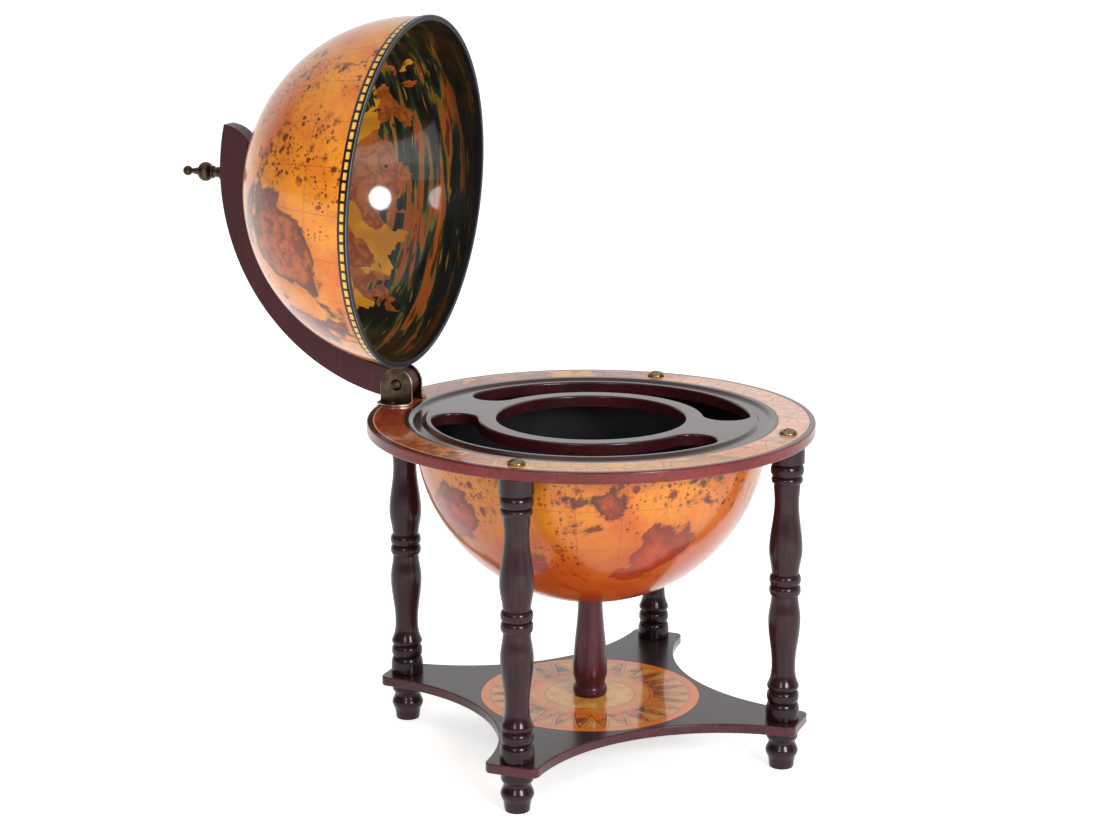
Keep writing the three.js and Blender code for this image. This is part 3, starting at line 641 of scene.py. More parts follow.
# Paper lining of the lid, printed with a loose brushed pattern, pasted in and varnished: ochre and brown
# round the pole, then long wavy strokes of dark green, black and burnt orange that run round to the mouth
@dataclass(frozen=True)
class PaintedLining(Lacquered):
    """A generic brushed pattern in the lining's colours, in rings from the pole to the mouth."""

    ochre: str = "#bd8120"
    ochre_deep: str = "#a46a18"
    brown: str = "#6a3110"
    billow: str = "#95501c"
    green: str = "#222a1a"
    black: str = "#0f100e"
    orange: str = "#8c441a"
    olive: str = "#5e5420"
    gold: str = "#a0701e"
    stroke_stretch: Spot = (1, 0.1, 0.1)
    strokes_from_mm: float = -84.0
    ragged_mm: float = 150.0
    mouth_from_mm: float = -38.0
    mouth_to_mm: float = -16.0

    def strokes(self, add: Add) -> Socket:
        """Broad wavy strokes with fine black and gold ones over them.

        Args:
            add: adds a node to the tree.

        Returns:
            The strokes' colour.
        """
        waves = cloud(add, 9, 1.2, self.stroke_stretch, warp=0.55)
        drawn = self.black
        tones = (0.40, 0.50, self.green), (0.535, 0.56, self.olive), (0.58, 0.60, self.orange)
        for low, high, tone in tones:
            drawn = add(Node.MIX, add(Node.RAMP, waves, low, high), drawn, tone)
        thin = cloud(add, 3.6, 2, self.stroke_stretch, shift=(2, 0, 0), warp=0.5)
        drawn = wash(add, drawn, self.black, add(Node.RAMP, thin, 0.54, 0.62), 0.75)
        return wash(add, drawn, self.gold, add(Node.RAMP, thin, 0.37, 0.31), 0.6)

    def field(self, add: Add) -> Socket:
        """Plain ochre with creased brown billows in patches.

        Args:
            add: adds a node to the tree.

        Returns:
            The field's colour.
        """
        plain = add(Node.MIX, patches(add, 0.4, 0.62, 40, 4), self.ochre, self.ochre_deep)
        crease = add(Node.UNSIGNED, add(Node.MINUS, cloud(add, 17, 2, shift=(5, 0, 0), warp=0.8), 0.5))
        puffs = add(Node.MIX, add(Node.RAMP, crease, -0.03, 0.12), self.brown, self.billow)
        puffs = wash(add, puffs, self.orange, patches(add, 0.5, 0.68, 9, 4), 0.5)
        return add(Node.MIX, patches(add, 0.47, 0.485, 62, 4, shift=(0, 2, 1), warp=0.5), plain, puffs)

    def colour(self, add: Add) -> Socket:
        """The field at the pole, the strokes beyond its ragged edge, and the dark mouth.

        Args:
            add: adds a node to the tree.

        Returns:
            The finished lining.
        """
        along = add(Node.X, add(Node.PLACE))
        ragged = add(Node.MINUS, cloud(add, 30, 4, warp=0.5), 0.5)
        edge = add(Node.TIMES_PLUS, ragged, self.ragged_mm * MM, along)
        start = self.strokes_from_mm * MM
        beyond = add(Node.RAMP, edge, start, start + 1.5 * MM)
        drawn = add(Node.MIX, beyond, self.field(add), self.strokes(add))
        mouth = add(Node.RAMP, along, self.mouth_from_mm * MM, self.mouth_to_mm * MM)
        return wash(add, drawn, self.black, mouth, 0.85)

    def relief(self) -> Relief:
        """Paper cockled under its varnish, which breaks up the lamps' reflections."""
        return Relief(7, 3, 0.16, 0.25)


# Pale studio floor paper, lit from behind as a light table is
@dataclass(frozen=True)
class FloorPaper(Lacquered):
    """The floor under the object."""

    pale: str = "#f6f6f5"
    shade: str = "#f3f3f2"
    glow: float = 0.62

    def colour(self, add: Add) -> Socket:
        """Two nearly equal whites."""
        return add(Node.MIX, patches(add, 0.4, 0.6, 300, 2), self.pale, self.shade)

    def material(self) -> bpy.types.Material:
        """Adds the light that comes through the paper.

        Returns:
            The glowing paper.
        """
        made = super().material()
        inputs = made.node_tree.nodes["Principled BSDF"].inputs
        inputs["Emission Color"].default_value = linear(self.pale)
        inputs["Emission Strength"].default_value = self.glow
        return made


ACROSS = (0.06, 1, 1)
EVEN = (1, 1, 1)
TURNED_WOOD = StainedWood("glossy_stained_rubberwood", 0.3, 0.3, 0.1, dark="#1b0a0f", light="#2c1118")
PILLAR_WOOD = StainedWood("stained_pillar_wood", 0.34, 0.28, 0.18, dark="#3a151c", light="#4e1d25")
ARM_WOOD = StainedWood("stained_arm_board", 0.42, 0.25, 0.25, dark="#390f16", light="#42131a", along=ACROSS)
BOARD_FACE = StainedWood("stained_board_face", 0.3, 0.6, 0.1, dark="#2a1614", light="#351c19", along=ACROSS)
BOARD_EDGE = StainedWood("stained_board_edge", 0.3, 0.4, 0.1, dark="#541516", light="#6e1e1e", along=EVEN)
# A darker copy of the edge stain for the walls of the hole and slots: painted shade in the recesses
BOARD_SHADED_WALL = StainedWood("stained_cut_walls", 0.34, 0.5, 0.14, dark="#2a0e11", light="#3e1417", along=EVEN)
SHELF_WOOD = StainedWood("satin_shelf_board", 0.36, 0.5, 0.2, dark="#211113", light="#2c181a", along=ACROSS)
SHELF_EDGE = StainedWood("satin_shelf_edge", 0.36, 0.4, 0.2, dark="#35161c", light="#4a1e26", along=EVEN)
BLACK = SprayedLacquer("black_sprayed_lacquer", 0.6, 0.0, 0.2, dark="#0c0c0f", light="#141317")
RIM_BLACK = SprayedLacquer("moulded_rim_lacquer", 0.5, 0.1, 0.2, dark="#0f0f14", light="#17161c")
# Pale grey on the rim's rounded lower outer edge: a painted highlight
RIM_HIGHLIGHT = SprayedLacquer("rubbed_rim_edge", 0.4, 0.3, 0.2, dark="#5a5552", light="#77706a")
BRASS = DarkenedBrass("antiqued_brass", 0.36, dark="#3a3027", light="#574a3a")
# Pale brass for the ears' cut edges and bevels: partly rubbed wear, partly a painted highlight
BRASS_WEAR_AND_HIGHLIGHT = DarkenedBrass("rubbed_brass_edge", 0.3, dark="#94866e", light="#c0b192")
CAP_BRASS = DarkenedBrass("rubbed_brass_caps", 0.32, dark="#66523c", light="#a69278")
ZINC = ZincPlate("zinc_plated_steel", 0.4, dark="#8a8a88", light="#a8a8a6")
LID_MAP = BorderedMap(
    "varnished_lid_map", 0.3, 0.75, 0.1,
    lands=(
        (-103, -134, -5, 52), (-78, -146, -38, 36), (-45, -154, -54, 26), (-52, -122, -104, 34),
        (-90, 60, -130, 60), (-60, 150, 50, 62), (-140, 70, 60, 45), (-60, 20, 158, 40),
    ),
    isles=(
        (-50, -148, 64, 36), (-15, -166, 28, 28), (-79, -141, 50, 24),
        (-72, -95, 120, 34), (-60, 120, -100, 40),
    ),
)
BOWL_MAP = PrintedMap(
    "varnished_bowl_map", 0.3, 0.6, 0.12, land="#a8431d", land_deep="#792d17", shift=(2.3, 1.1, 0.7),
    sea="#c0751f", sea_deep="#ae5617", seas_redden=0.9, outline=0.012,
    lands=(
        (110, -100, -75, 32), (85, -105, -105, 26), (80, -145, -28, 20), (-90, -130, -60, 34),
        (-120, 90, -50, 60), (100, 120, -60, 55), (150, 30, -70, 40),
    ),
    isles=(
        (30, -165, -20, 26), (125, -110, -22, 26), (-60, -150, -40, 26),
        (0, -140, -95, 24), (60, 140, -70, 40),
    ),
)
RING_MAP = BandMap(
    "varnished_ring_map", 0.3, 0.55, 0.08, sea="#d88c34", sea_deep="#cc742c", land="#bf6c30",
    land_deep="#9c5426", coast="#6a3618", continent_mm=55, land_level=0.5, shift=(0.6, 3.3, 0), isle_mm=9,
)
MEDALLION = Sunburst("varnished_medallion", 0.3, 0.65, 0.05)
LINING = PaintedLining("varnished_lining", 0.34, 0.7, 0.07)
FLOOR = FloorPaper("studio_paper", 0.7, 0.0)


# Profiles and outlines, in millimetres


def polar(radius: float, degrees: float) -> Point:
    """The point at a distance from the origin, in a direction."""
    turn = math.radians(degrees)
    return radius * math.cos(turn), radius * math.sin(turn)


def ease(start: Point, end: Point, steps: int = 8) -> Profile:
    """Points on a curve that is level in radius at both ends, without its first point.

    Args:
        start: radius and height where it begins; left out of the points.
        end: radius and height where it ends.
        steps: how many points it takes.

    Returns:
        The points from the first step to the end.
    """
    points = []
    for i in range(1, steps + 1):
        way = i / steps
        share = (1 - math.cos(math.pi * way)) / 2
        points.append((start[0] + (end[0] - start[0]) * share, start[1] + (end[1] - start[1]) * way))
    return points


def flow(start: Point, *stops: tuple[float, float, int]) -> Profile:
    """Eases through crests and necks, each a radius, a height and how many steps lead to it.

    Args:
        start: radius and height where it begins; left out of the points.
        stops: radius, height and number of steps of each crest or neck.

    Returns:
        The points of all its curves.
    """
    points: Profile = []
    for radius, height, steps in stops:
        points += ease(start, (radius, height), steps)
        start = (radius, height)
    return points


def fall(start: Point, end: Point, power: float, steps: int = 10) -> Profile:
    """Points on a hollow curve that drops at once and ends upright, without its first point.

    Args:
        start: radius and height where it begins; left out of the points.
        end: radius and height where it ends.
        power: how sharply it drops at first.
        steps: how many points it takes.

    Returns:
        The points from the first step to the end.
    """
    points = []
    for i in range(1, steps + 1):
        way = i / steps
        left = (1 - way) ** power
        points.append((end[0] + (start[0] - end[0]) * left, start[1] + (end[1] - start[1]) * way))
    return points


def bead(bottom: float, top: float, neck: float, crest: float, steps: int = 10) -> Profile:
    """A half-round bead between two heights, both ends at the neck radius.

    Args:
        bottom: its lower height.
        top: its upper height.
        neck: its radius at both ends.
        crest: its radius halfway.
        steps: how many faces it has.

    Returns:
        Its points, both ends included.
    """
    middle, half = (bottom + top) / 2, (top - bottom) / 2
    turns = [math.pi * (i / steps - 0.5) for i in range(steps + 1)]
    return [(neck + (crest - neck) * math.cos(t), middle + half * math.sin(t)) for t in turns]


def corner(centre: Point, radius: float, start: float, end: float, steps: int = 5) -> Profile:
    """An arc from one angle to another, in degrees, both ends included."""
    angles = [math.radians(start + (end - start) * i / steps) for i in range(steps + 1)]
    return [(centre[0] + radius * math.cos(a), centre[1] + radius * math.sin(a)) for a in angles]


def meridian(radius: float, start: float, end: float, steps: int = 40) -> Profile:
    """A globe's outline about its own centre, from one height to another.

    Args:
        radius: the globe's radius.
        start: height where it begins, from the centre.
        end: height where it ends.
        steps: how many faces it has.

    Returns:
        Its points of radius and height, both ends included.
    """
    low, high = (math.asin(max(-1.0, min(1.0, h / radius))) for h in (start, end))
    angles = [low + (high - low) * i / steps for i in range(steps + 1)]
    return [(radius * math.cos(a), radius * math.sin(a)) for a in angles]


def rise(radius: float, reach: float) -> float:
    """How high a globe's surface lies above its centre, at a distance from its axis."""
    return math.sqrt(radius * radius - reach * reach)


def inset(outline: Sequence[Point], depth: float) -> Profile:
    """Moves a counter-clockwise outline inwards by a small depth.

    Args:
        outline: its points, without a repeated last one.
        depth: how far each edge moves; negative moves it outwards.

    Returns:
        As many points as came in.
    """
    moved = []
    for i, point in enumerate(outline):
        before, here, after = Vector(outline[i - 1]), Vector(point), Vector(outline[(i + 1) % len(outline)])
        first, second = (here - before).normalized(), (after - here).normalized()
        normals = [Vector((-d.y, d.x)) for d in (first, second)]
        middle = (normals[0] + normals[1]).normalized()
        reach = depth / max(0.4, middle.dot(normals[0]))
        moved.append((here.x + middle.x * reach, here.y + middle.y * reach))
    return moved


# Meshes


def new_piece(
    name: str,
    vertices: Sequence[Spot],
    faces: Sequence[Sequence[int]],
    finishes: Sequence[Lacquered],
    zones: Sequence[int] = (),
    spread: Sequence[Sequence[Point]] = (),
) -> Piece:
    """Makes a dressed mesh object from points in millimetres.

    Args:
        name: the piece's name.
        vertices: its points.
        faces: its faces, as numbers of points.
        finishes: its finishes, in the order of their numbers.
        zones: the number of each face's finish.
        spread: each face's flat coordinates, one pair per corner.

    Returns:
        The linked object.
    """
    mesh = bpy.data.meshes.new(name)
    mesh.from_pydata([[c * MM for c in v] for v in vertices], [], [list(f) for f in faces])
    if zones:
        mesh.polygons.foreach_set("material_index", zones)
    if spread:
        layer = mesh.uv_layers.new(name="spread")
        layer.uv.foreach_set("vector", [c for face in spread for pair in face for c in pair])
    work = bmesh.new()
    work.from_mesh(mesh)
    bmesh.ops.remove_doubles(work, verts=work.verts, dist=1e-7)
    bmesh.ops.recalc_face_normals(work, faces=work.faces)
    work.to_mesh(mesh)
    work.free()
    for finish in finishes:
        mesh.materials.append(finish.material())
    piece = bpy.data.objects.new(name, mesh)
    bpy.context.scene.collection.objects.link(piece)
    return piece


def revolve(
    name: str,
    profile: Sequence[Point],
    *finishes: Lacquered,
    sides: int = TURNED_SIDES,
    zone: Callable[[Point, Point], int] | None = None,
) -> Piece:
    """Turns a profile of radius and height about the upright axis.

    Args:
        name: the piece's name.
        profile: its points; it starts and ends on the axis, or ends where it starts.
        finishes: its finishes, in the order of their numbers.
        sides: how many faces go round.
        zone: gives a stretch of the profile the number of its finish.

    Returns:
        The turned piece, with round and along coordinates.
    """
    vertices: list[Spot] = []
    rings: list[list[int]] = []
    for radius, height in profile:
        count = 1 if radius < 1e-6 else sides
        rings.append([len(vertices) + i for i in range(count)])
        for i in range(count):
            turn = 2 * math.pi * i / sides
            vertices.append((radius * math.cos(turn), radius * math.sin(turn), height))
    faces, zones, spread, along = [], [], [], 0.0
    for here, there, low, high in zip(profile, profile[1:], rings, rings[1:]):
        length = math.dist(here, there)
        for i in range(sides):
            u, v = (i / sides, (i + 1) / sides), (along * MM, (along + length) * MM)
            corners = [
                (low[i % len(low)], (u[0], v[0])),
                (low[(i + 1) % len(low)], (u[1], v[0])),
                (high[(i + 1) % len(high)], (u[1], v[1])),
                (high[i % len(high)], (u[0], v[1])),
            ]
            kept = [c for k, c in enumerate(corners) if c[0] not in [d[0] for d in corners[:k]]]
            if len(kept) > 2:
                faces.append([c[0] for c in kept])
                spread.append([c[1] for c in kept])
                zones.append(zone(here, there) if zone else 0)
        along += length
    return new_piece(name, vertices, faces, finishes, zones, spread)


def stack(name: str, layers: Sequence[tuple[Sequence[Point], float]], *finishes: Lacquered) -> Piece:
    """Builds a flat board from outlines at rising heights.

    Args:
        name: the piece's name.
        layers: outline and height of each layer, all with as many points.
        finishes: one for the whole board, or one for its two faces and one for the sides.

    Returns:
        The closed piece.
    """
    count = len(layers[0][0])
    vertices = [(x, y, height) for outline, height in layers for x, y in outline]
    faces: list[list[int]] = [list(range(count))[::-1], [len(vertices) - count + i for i in range(count)]]
    for level in range(len(layers) - 1):
        for i in range(count):
            a, b = level * count + i, level * count + (i + 1) % count
            faces.append([a, b, b + count, a + count])
    sides = [len(finishes) - 1] * (len(faces) - 2)
    return new_piece(name, vertices, faces, finishes, [0, 0] + sides)


def slab(
    name: str, outline: Sequence[Point], bottom: float, top: float, rounding: float, *finishes: Lacquered
) -> Piece:
    """Builds a board of even thickness with rounded edges above and below.

    Args:
        name: the board's name.
        outline: its points, counter-clockwise.
        bottom: its lower height.
        top: its upper height.
        rounding: its edges' radius.
        finishes: one for the whole board, or one for its two faces and one for the sides.

    Returns:
        The closed board.
    """
    turns = [math.pi / 2 * way / 3 for way in range(4)]
    bends = [(rounding * (1 - math.sin(t)), rounding * (1 - math.cos(t))) for t in turns]
    layers = [(inset(outline, inwards), bottom + up) for inwards, up in bends]
    layers += [(inset(outline, inwards), top - down) for down, inwards in bends]
    return stack(name, layers, *finishes)


def shape_with(target: Piece, others: Sequence[Piece], shaping: Shaping = Shaping.CUT) -> None:
    """Cuts or meets a piece with others, which are used up; cut faces keep the cutter's finish.

    Args:
        target: the piece that stays.
        others: the closed shapes to apply.
        shaping: whether they cut it, or leave what they share with it.
    """
    for other in others:
        change = target.modifiers.new("shape", "BOOLEAN")
        change.operation = shaping.value
        change.solver = "EXACT"
        change.material_mode = "TRANSFER"
        change.object = other
    bpy.context.view_layer.update()
    graph = bpy.context.evaluated_depsgraph_get()
    mesh = bpy.data.meshes.new_from_object(target.evaluated_get(graph))
    target.modifiers.clear()
    target.data = mesh
    for other in others:
        bpy.data.objects.remove(other)


def smooth(piece: Piece) -> None:
    """Shades a piece smooth across its gentle edges and keeps its flat faces flat.

    Args:
        piece: the finished mesh object.
    """
    piece.data.shade_smooth()
    piece.data.set_sharp_from_angle(angle=math.radians(SHARP_DEGREES))
    weigh = piece.modifiers.new("flat_faces", "WEIGHTED_NORMAL")
    weigh.keep_sharp = True
    weigh.weight = 100


def shifted(x: float = 0, y: float = 0, z: float = 0) -> Matrix:
    """A move by millimetres from the stand's axis."""
    return Matrix.Translation(((STAND_X + x) * MM, y * MM, z * MM))


def turned(degrees: float, axis: str | Vector = "Z") -> Matrix:
    """A turn about an axis through the origin."""
    return Matrix.Rotation(math.radians(degrees), 4, axis)


def fit(piece: Piece, body: Body, slot: Slot, node: str, place: Matrix) -> None:
    """Puts a finished piece in the frame, on its body, in place of its CAD node.

    Args:
        piece: the piece, built about its own origin.
        body: the body that it moves with.
        slot: not used.
        node: the CAD node that it stands for.
        place: where its origin goes in the row frame.
    """
    smooth(piece)
    piece.matrix_world = place
    bpy.context.view_layer.update()
    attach(piece, body.value)
    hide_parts(node)
    log.info("built %s on %s", piece.name, body.value)


def opened() -> Matrix:
    """The turn that swings a piece drawn shut, about the stand's axis, to where it rests open."""
    pin = HINGE * MM
    return shifted() @ Matrix.Translation(pin) @ turned(-90, "Y") @ Matrix.Translation(-pin)


def lid_place() -> Matrix:
    """Where the lid's own centre goes: open, and hanging a little out of line on its pole bolt.

    Returns:
        The lid's place in the row frame.
    """
    pole = Matrix.Translation((0, 0, (RIM_BOTTOM_Z + GLOBE_RADIUS) * MM))
    back = Matrix.Translation((0, 0, -GLOBE_RADIUS * MM))
    line = math.radians(SAG_LINE_DEGREES)
    return opened() @ pole @ turned(SAG_DEGREES, Vector((math.sin(line), math.cos(line), 0))) @ back


# Sub-assemblies


@dataclass
class Leg:
    """The four turned legs with their feet and cap screws."""

    top: float = 317.7
    foot_top: float = 39.3
    neck: float = 13.0
    groove: float = 12.6
    block_height: float = 16.6
    bead_height: float = 11.6
    waist_bead_height: float = 10.5
    waist_bead: float = 15.1
    upper_beads: tuple[float, float, float] = (281.7, 288.7, 300.7)
    lower_vase_share: float = 0.516
    cap_radius: float = 8.6
    cap_brim: float = 0.3
    cap_dome: float = 4.4
    cap_slot_bottom: float = 3.0
    cap_turn_degrees: float = 65.0

    def profile(self) -> Profile:
        """The leg from its lower block to its top block.

        Returns:
            Its points of radius and height, from the axis to the axis.
        """
        low, first = SHELF_SEAT_Z, SHELF_SEAT_Z + self.block_height
        points = [(0, low), (15.5, low), (16.0, low + 0.7)]
        for way in range(9):
            turn = math.radians(85 * way / 8)
            points.append((13.1 + 2.9 * math.cos(turn), low + 7.4 + 9.2 * math.sin(turn)))
        vase = first + self.bead_height
        points += bead(first, vase, self.neck, 15.4, 14)
        beads, waist_bead = self.upper_beads, self.waist_bead_height
        total = beads[0] - vase - 2 * waist_bead
        lower = total * self.lower_vase_share
        waist = vase + lower
        points += corner((14.3, vase + lower * 0.028 + 0.9), 0.9, -80, 0, 4)
        points += [(15.2, vase + lower * 0.06)]
        points += fall((15.2, vase + lower * 0.06), (11.3, vase + lower * 0.266), 2.5)
        belly = (15.4, vase + lower * 0.747, 14)
        points += flow((11.3, vase + lower * 0.266), belly, (self.neck - 0.2, waist, 10))[:-1]
        points += bead(waist, waist + waist_bead, self.groove, self.waist_bead)
        points += bead(waist + waist_bead, waist + 2 * waist_bead, self.groove, self.waist_bead)[1:]
        high, upper = waist + 2 * waist_bead, total - lower
        belly, throat = (15.9, high + upper * 0.265, 10), (11.6, high + upper * 0.79, 14)
        points += flow((self.neck, high), belly, throat, (self.neck - 0.4, beads[0], 8))[:-1]
        points += bead(beads[0], beads[1], self.groove, 14.9)
        points += bead(beads[1], beads[2], self.groove, 15.8)[1:]
        points += corner((14.9, beads[2] + 1.5), 1.3, -75, 0, 4)
        return points + [(16.2, self.top - 0.6), (15.6, self.top), (0, self.top)]

    def foot_profile(self) -> Profile:
        """The foot from the floor to the shelf: pad, bulb, neck and collar.

        Returns:
            Its points of radius and height, from the axis to the axis.
        """
        points = [(0, 0), (10.3, 0), (11.4, 0.5), (11.9, 1.8), (12.4, 7.7), (12.7, 8.1)]
        points += flow(points[-1], (15.6, 17.4, 10), (12.8, 26.4, 10), (15.2, 31.8, 8))
        return points + [(15.2, self.foot_top - 0.5), (14.7, self.foot_top), (0, self.foot_top)]

    def screw(self, name: str) -> Piece:
        """A low domed cap screw with one slot, seated on the board.

        Args:
            name: the screw's name.

        Returns:
            The slotted cap.
        """
        base = BOARD_TOP_Z + SEAT
        brim, dome = base + self.cap_brim, self.cap_dome
        profile = [(0, base), (self.cap_radius - 0.3, base), (self.cap_radius, brim)]
        turns = [math.radians(a) for a in range(6, 90, 7)]
        profile += [(self.cap_radius * math.cos(a), brim + dome * math.sin(a)) for a in turns]
        cap = revolve(name, profile + [(0, brim + dome)], CAP_BRASS, sides=SMALL_SIDES)
        slot = [(-9, -0.7), (9, -0.7), (9, 0.7), (-9, 0.7)]
        cutter = [(slot, base + self.cap_slot_bottom), (slot, base + 8)]
        shape_with(cap, [stack(name + "_cut", cutter, BRASS)])
        return cap

    def build(self) -> None:
        """Makes all four legs, feet and screws; the left screw lies flush, as the frame has it."""
        for name, turn in PLACES.items():
            x, y = polar(LEG_CIRCLE, turn)
            leg = revolve(f"turned_leg_{name}", self.profile(), TURNED_WOOD)
            fit(leg, Body.STAND, Slot.TURNED_WOOD, f"leg_{name}", shifted(x, y))
            foot = revolve(f"turned_foot_{name}", self.foot_profile(), TURNED_WOOD)
            fit(foot, Body.STAND, Slot.TURNED_WOOD, f"foot_{name}", shifted(x, y))
            if name != "left":
                place = shifted(x, y) @ turned(self.cap_turn_degrees)
                cap = self.screw(f"cap_screw_{name}")
                fit(cap, Body.STAND, Slot.ANTIQUE_BRASS, f"leg_screw_{name}", place)


@dataclass
class TableBoard:
    """The routed round board with its map band."""

    radius: float = 215.0
    edge: float = 1.6
    hole: float = 91.0
    roll: float = 1.8
    slot_inner: float = 108.5
    slot_outer: float = 153.5
    slot_end_degrees: float = 24.0
    groove_inner: float = 158.0
    groove_outer: float = 175.5
    groove_depth: float = 2.8
    inner_flank: float = 4.6
    outer_flank: float = 5.2
    rebate: float = 2.2
    bed: float = 0.9
    band_thickness: float = 0.6
    screw_hole: float = 5.8
    screw_bore: float = 3.3
    sink_foot: float = 324.8
    sink_top: float = 328.1
    clear_of_board: tuple[float, float] = (315.0, 335.0)

    def profile(self) -> Profile:
        """The whole board's cross-section, a closed loop.

        Returns:
            Its points of radius and height, the first one repeated at the end.
        """
        under, top, roll = BOARD_UNDER_Z, BOARD_TOP_Z, self.roll
        floor, bed, edge = top - self.groove_depth, top - self.bed, self.radius - self.edge
        inside, outside = GLOBE_INNER - SEAT, GLOBE_RADIUS + SEAT
        points = [(self.hole, under), (inside, under), (inside, under + self.rebate)]
        points += [(outside, under + self.rebate), (outside, under)]
        points += corner((edge, under + self.edge), self.edge, -90, 0)
        points += corner((edge, top - self.edge), self.edge, 0, 90)
        points += [(BAND_OUTER + SEAT, top), (BAND_OUTER + SEAT, bed), (BAND_INNER - SEAT, bed)]
        points += [(BAND_INNER - SEAT, top), (self.groove_outer, top)]
        flanks = ease((top, self.groove_outer), (floor, self.groove_outer - self.outer_flank))
        flanks += [(floor, self.groove_inner + self.inner_flank)]
        flanks += ease(flanks[-1], (top, self.groove_inner))
        points += [(reach, height) for height, reach in flanks]
        points += [(self.hole + roll, top)]
        points += corner((self.hole + roll, top - roll), roll, 90, 180)
        return points + points[:1]

    def slot_outline(self, side: int) -> Profile:
        """One long slot, counter-clockwise, on the back (+1) or front (-1) half.

        Args:
            side: +1 or -1.

        Returns:
            Its points, without a repeated last one.
        """
        middle = (self.slot_inner + self.slot_outer) / 2
        half = (self.slot_outer - self.slot_inner) / 2
        start, end = self.slot_end_degrees, 180 - self.slot_end_degrees
        ends = [polar(middle, degrees) for degrees in (start, end)]
        points = corner((0, 0), self.slot_outer, start, end, 48)
        points += corner(ends[1], half, end, end + 180, 20)[1:-1]
        points += corner((0, 0), self.slot_inner, end, start, 40)
        points += corner(ends[0], half, start + 180, start + 360, 20)[1:-1]
        return points if side > 0 else [(-x, -y) for x, y in points]

    def slot_cutter(self, side: int) -> Piece:
        """The shape that cuts a slot and rolls its upper edge over.

        Args:
            side: +1 for the back slot or -1 for the front one.

        Returns:
            The closed cutter.
        """
        outline, roll, top = self.slot_outline(side), self.roll, BOARD_TOP_Z
        layers = [(outline, BOARD_UNDER_Z - 2), (outline, top - roll)]
        for way in range(1, 6):
            turn = math.pi / 2 * way / 5
            layers.append((inset(outline, -roll * (1 - math.cos(turn))), top - roll * (1 - math.sin(turn))))
        layers.append((inset(outline, -roll - 0.4), top + 0.4))
        # The slots' walls take the darker copy of the edge stain, painted shade
        return stack(f"slot_{side}", layers, BOARD_SHADED_WALL)

    def left_hole(self, profile: Sequence[Point], finish: Lacquered) -> Piece:
        """A cutter for the flush screw's place, over the left leg.

        Args:
            profile: the hole's points of radius and height.
            finish: what the cut shows.

        Returns:
            The closed cutter.
        """
        hole = revolve("hole", profile, finish, sides=SMALL_SIDES)
        hole.matrix_world = Matrix.Translation((-LEG_CIRCLE * MM, 0, 0))
        return hole

    def zone(self, here: Point, there: Point) -> int:
        """The redder edge finish goes on the rim; a darker copy of it, painted shade, goes on the hole's
        wall.

        Args:
            here: where the stretch begins, radius and height.
            there: where it ends.

        Returns:
            The number of the stretch's finish.
        """
        radius, top = min(here[0], there[0]), max(here[1], there[1])
        rim = radius > self.radius - self.edge * 0.7
        wall = max(here[0], there[0]) < self.hole + 0.5 and top < BOARD_TOP_Z - 1
        return 1 if rim else 2 if wall else 0

    def build(self) -> None:
        """Makes the board and the band."""
        finishes = (BOARD_FACE, BOARD_EDGE, BOARD_SHADED_WALL)
        board = revolve("table_top", self.profile(), *finishes, sides=ROUND_SIDES, zone=self.zone)
        wide, bore, (below, above) = self.screw_hole, self.screw_bore, self.clear_of_board
        sink = [(0, below), (bore, below), (bore, self.sink_foot), (wide, self.sink_top)]
        sink = self.left_hole(sink + [(wide, above), (0, above)], BOARD_FACE)
        shape_with(board, [self.slot_cutter(1), self.slot_cutter(-1), sink])
        fit(board, Body.STAND, Slot.DARK_BOARD, "table_board", shifted())
        top, low = BOARD_TOP_Z, BOARD_TOP_Z - self.band_thickness
        loop = [(BAND_INNER, low), (BAND_OUTER, low), (BAND_OUTER, top), (BAND_INNER, top)]
        band = revolve("printed_map_band", loop + loop[:1], RING_MAP, sides=ROUND_SIDES)
        round_hole = [(0, below), (wide, below), (wide, above), (0, above)]
        shape_with(band, [self.left_hole(round_hole, RING_MAP)])
        fit(band, Body.STAND, Slot.PRINTED_PAPER, "map_band", shifted())


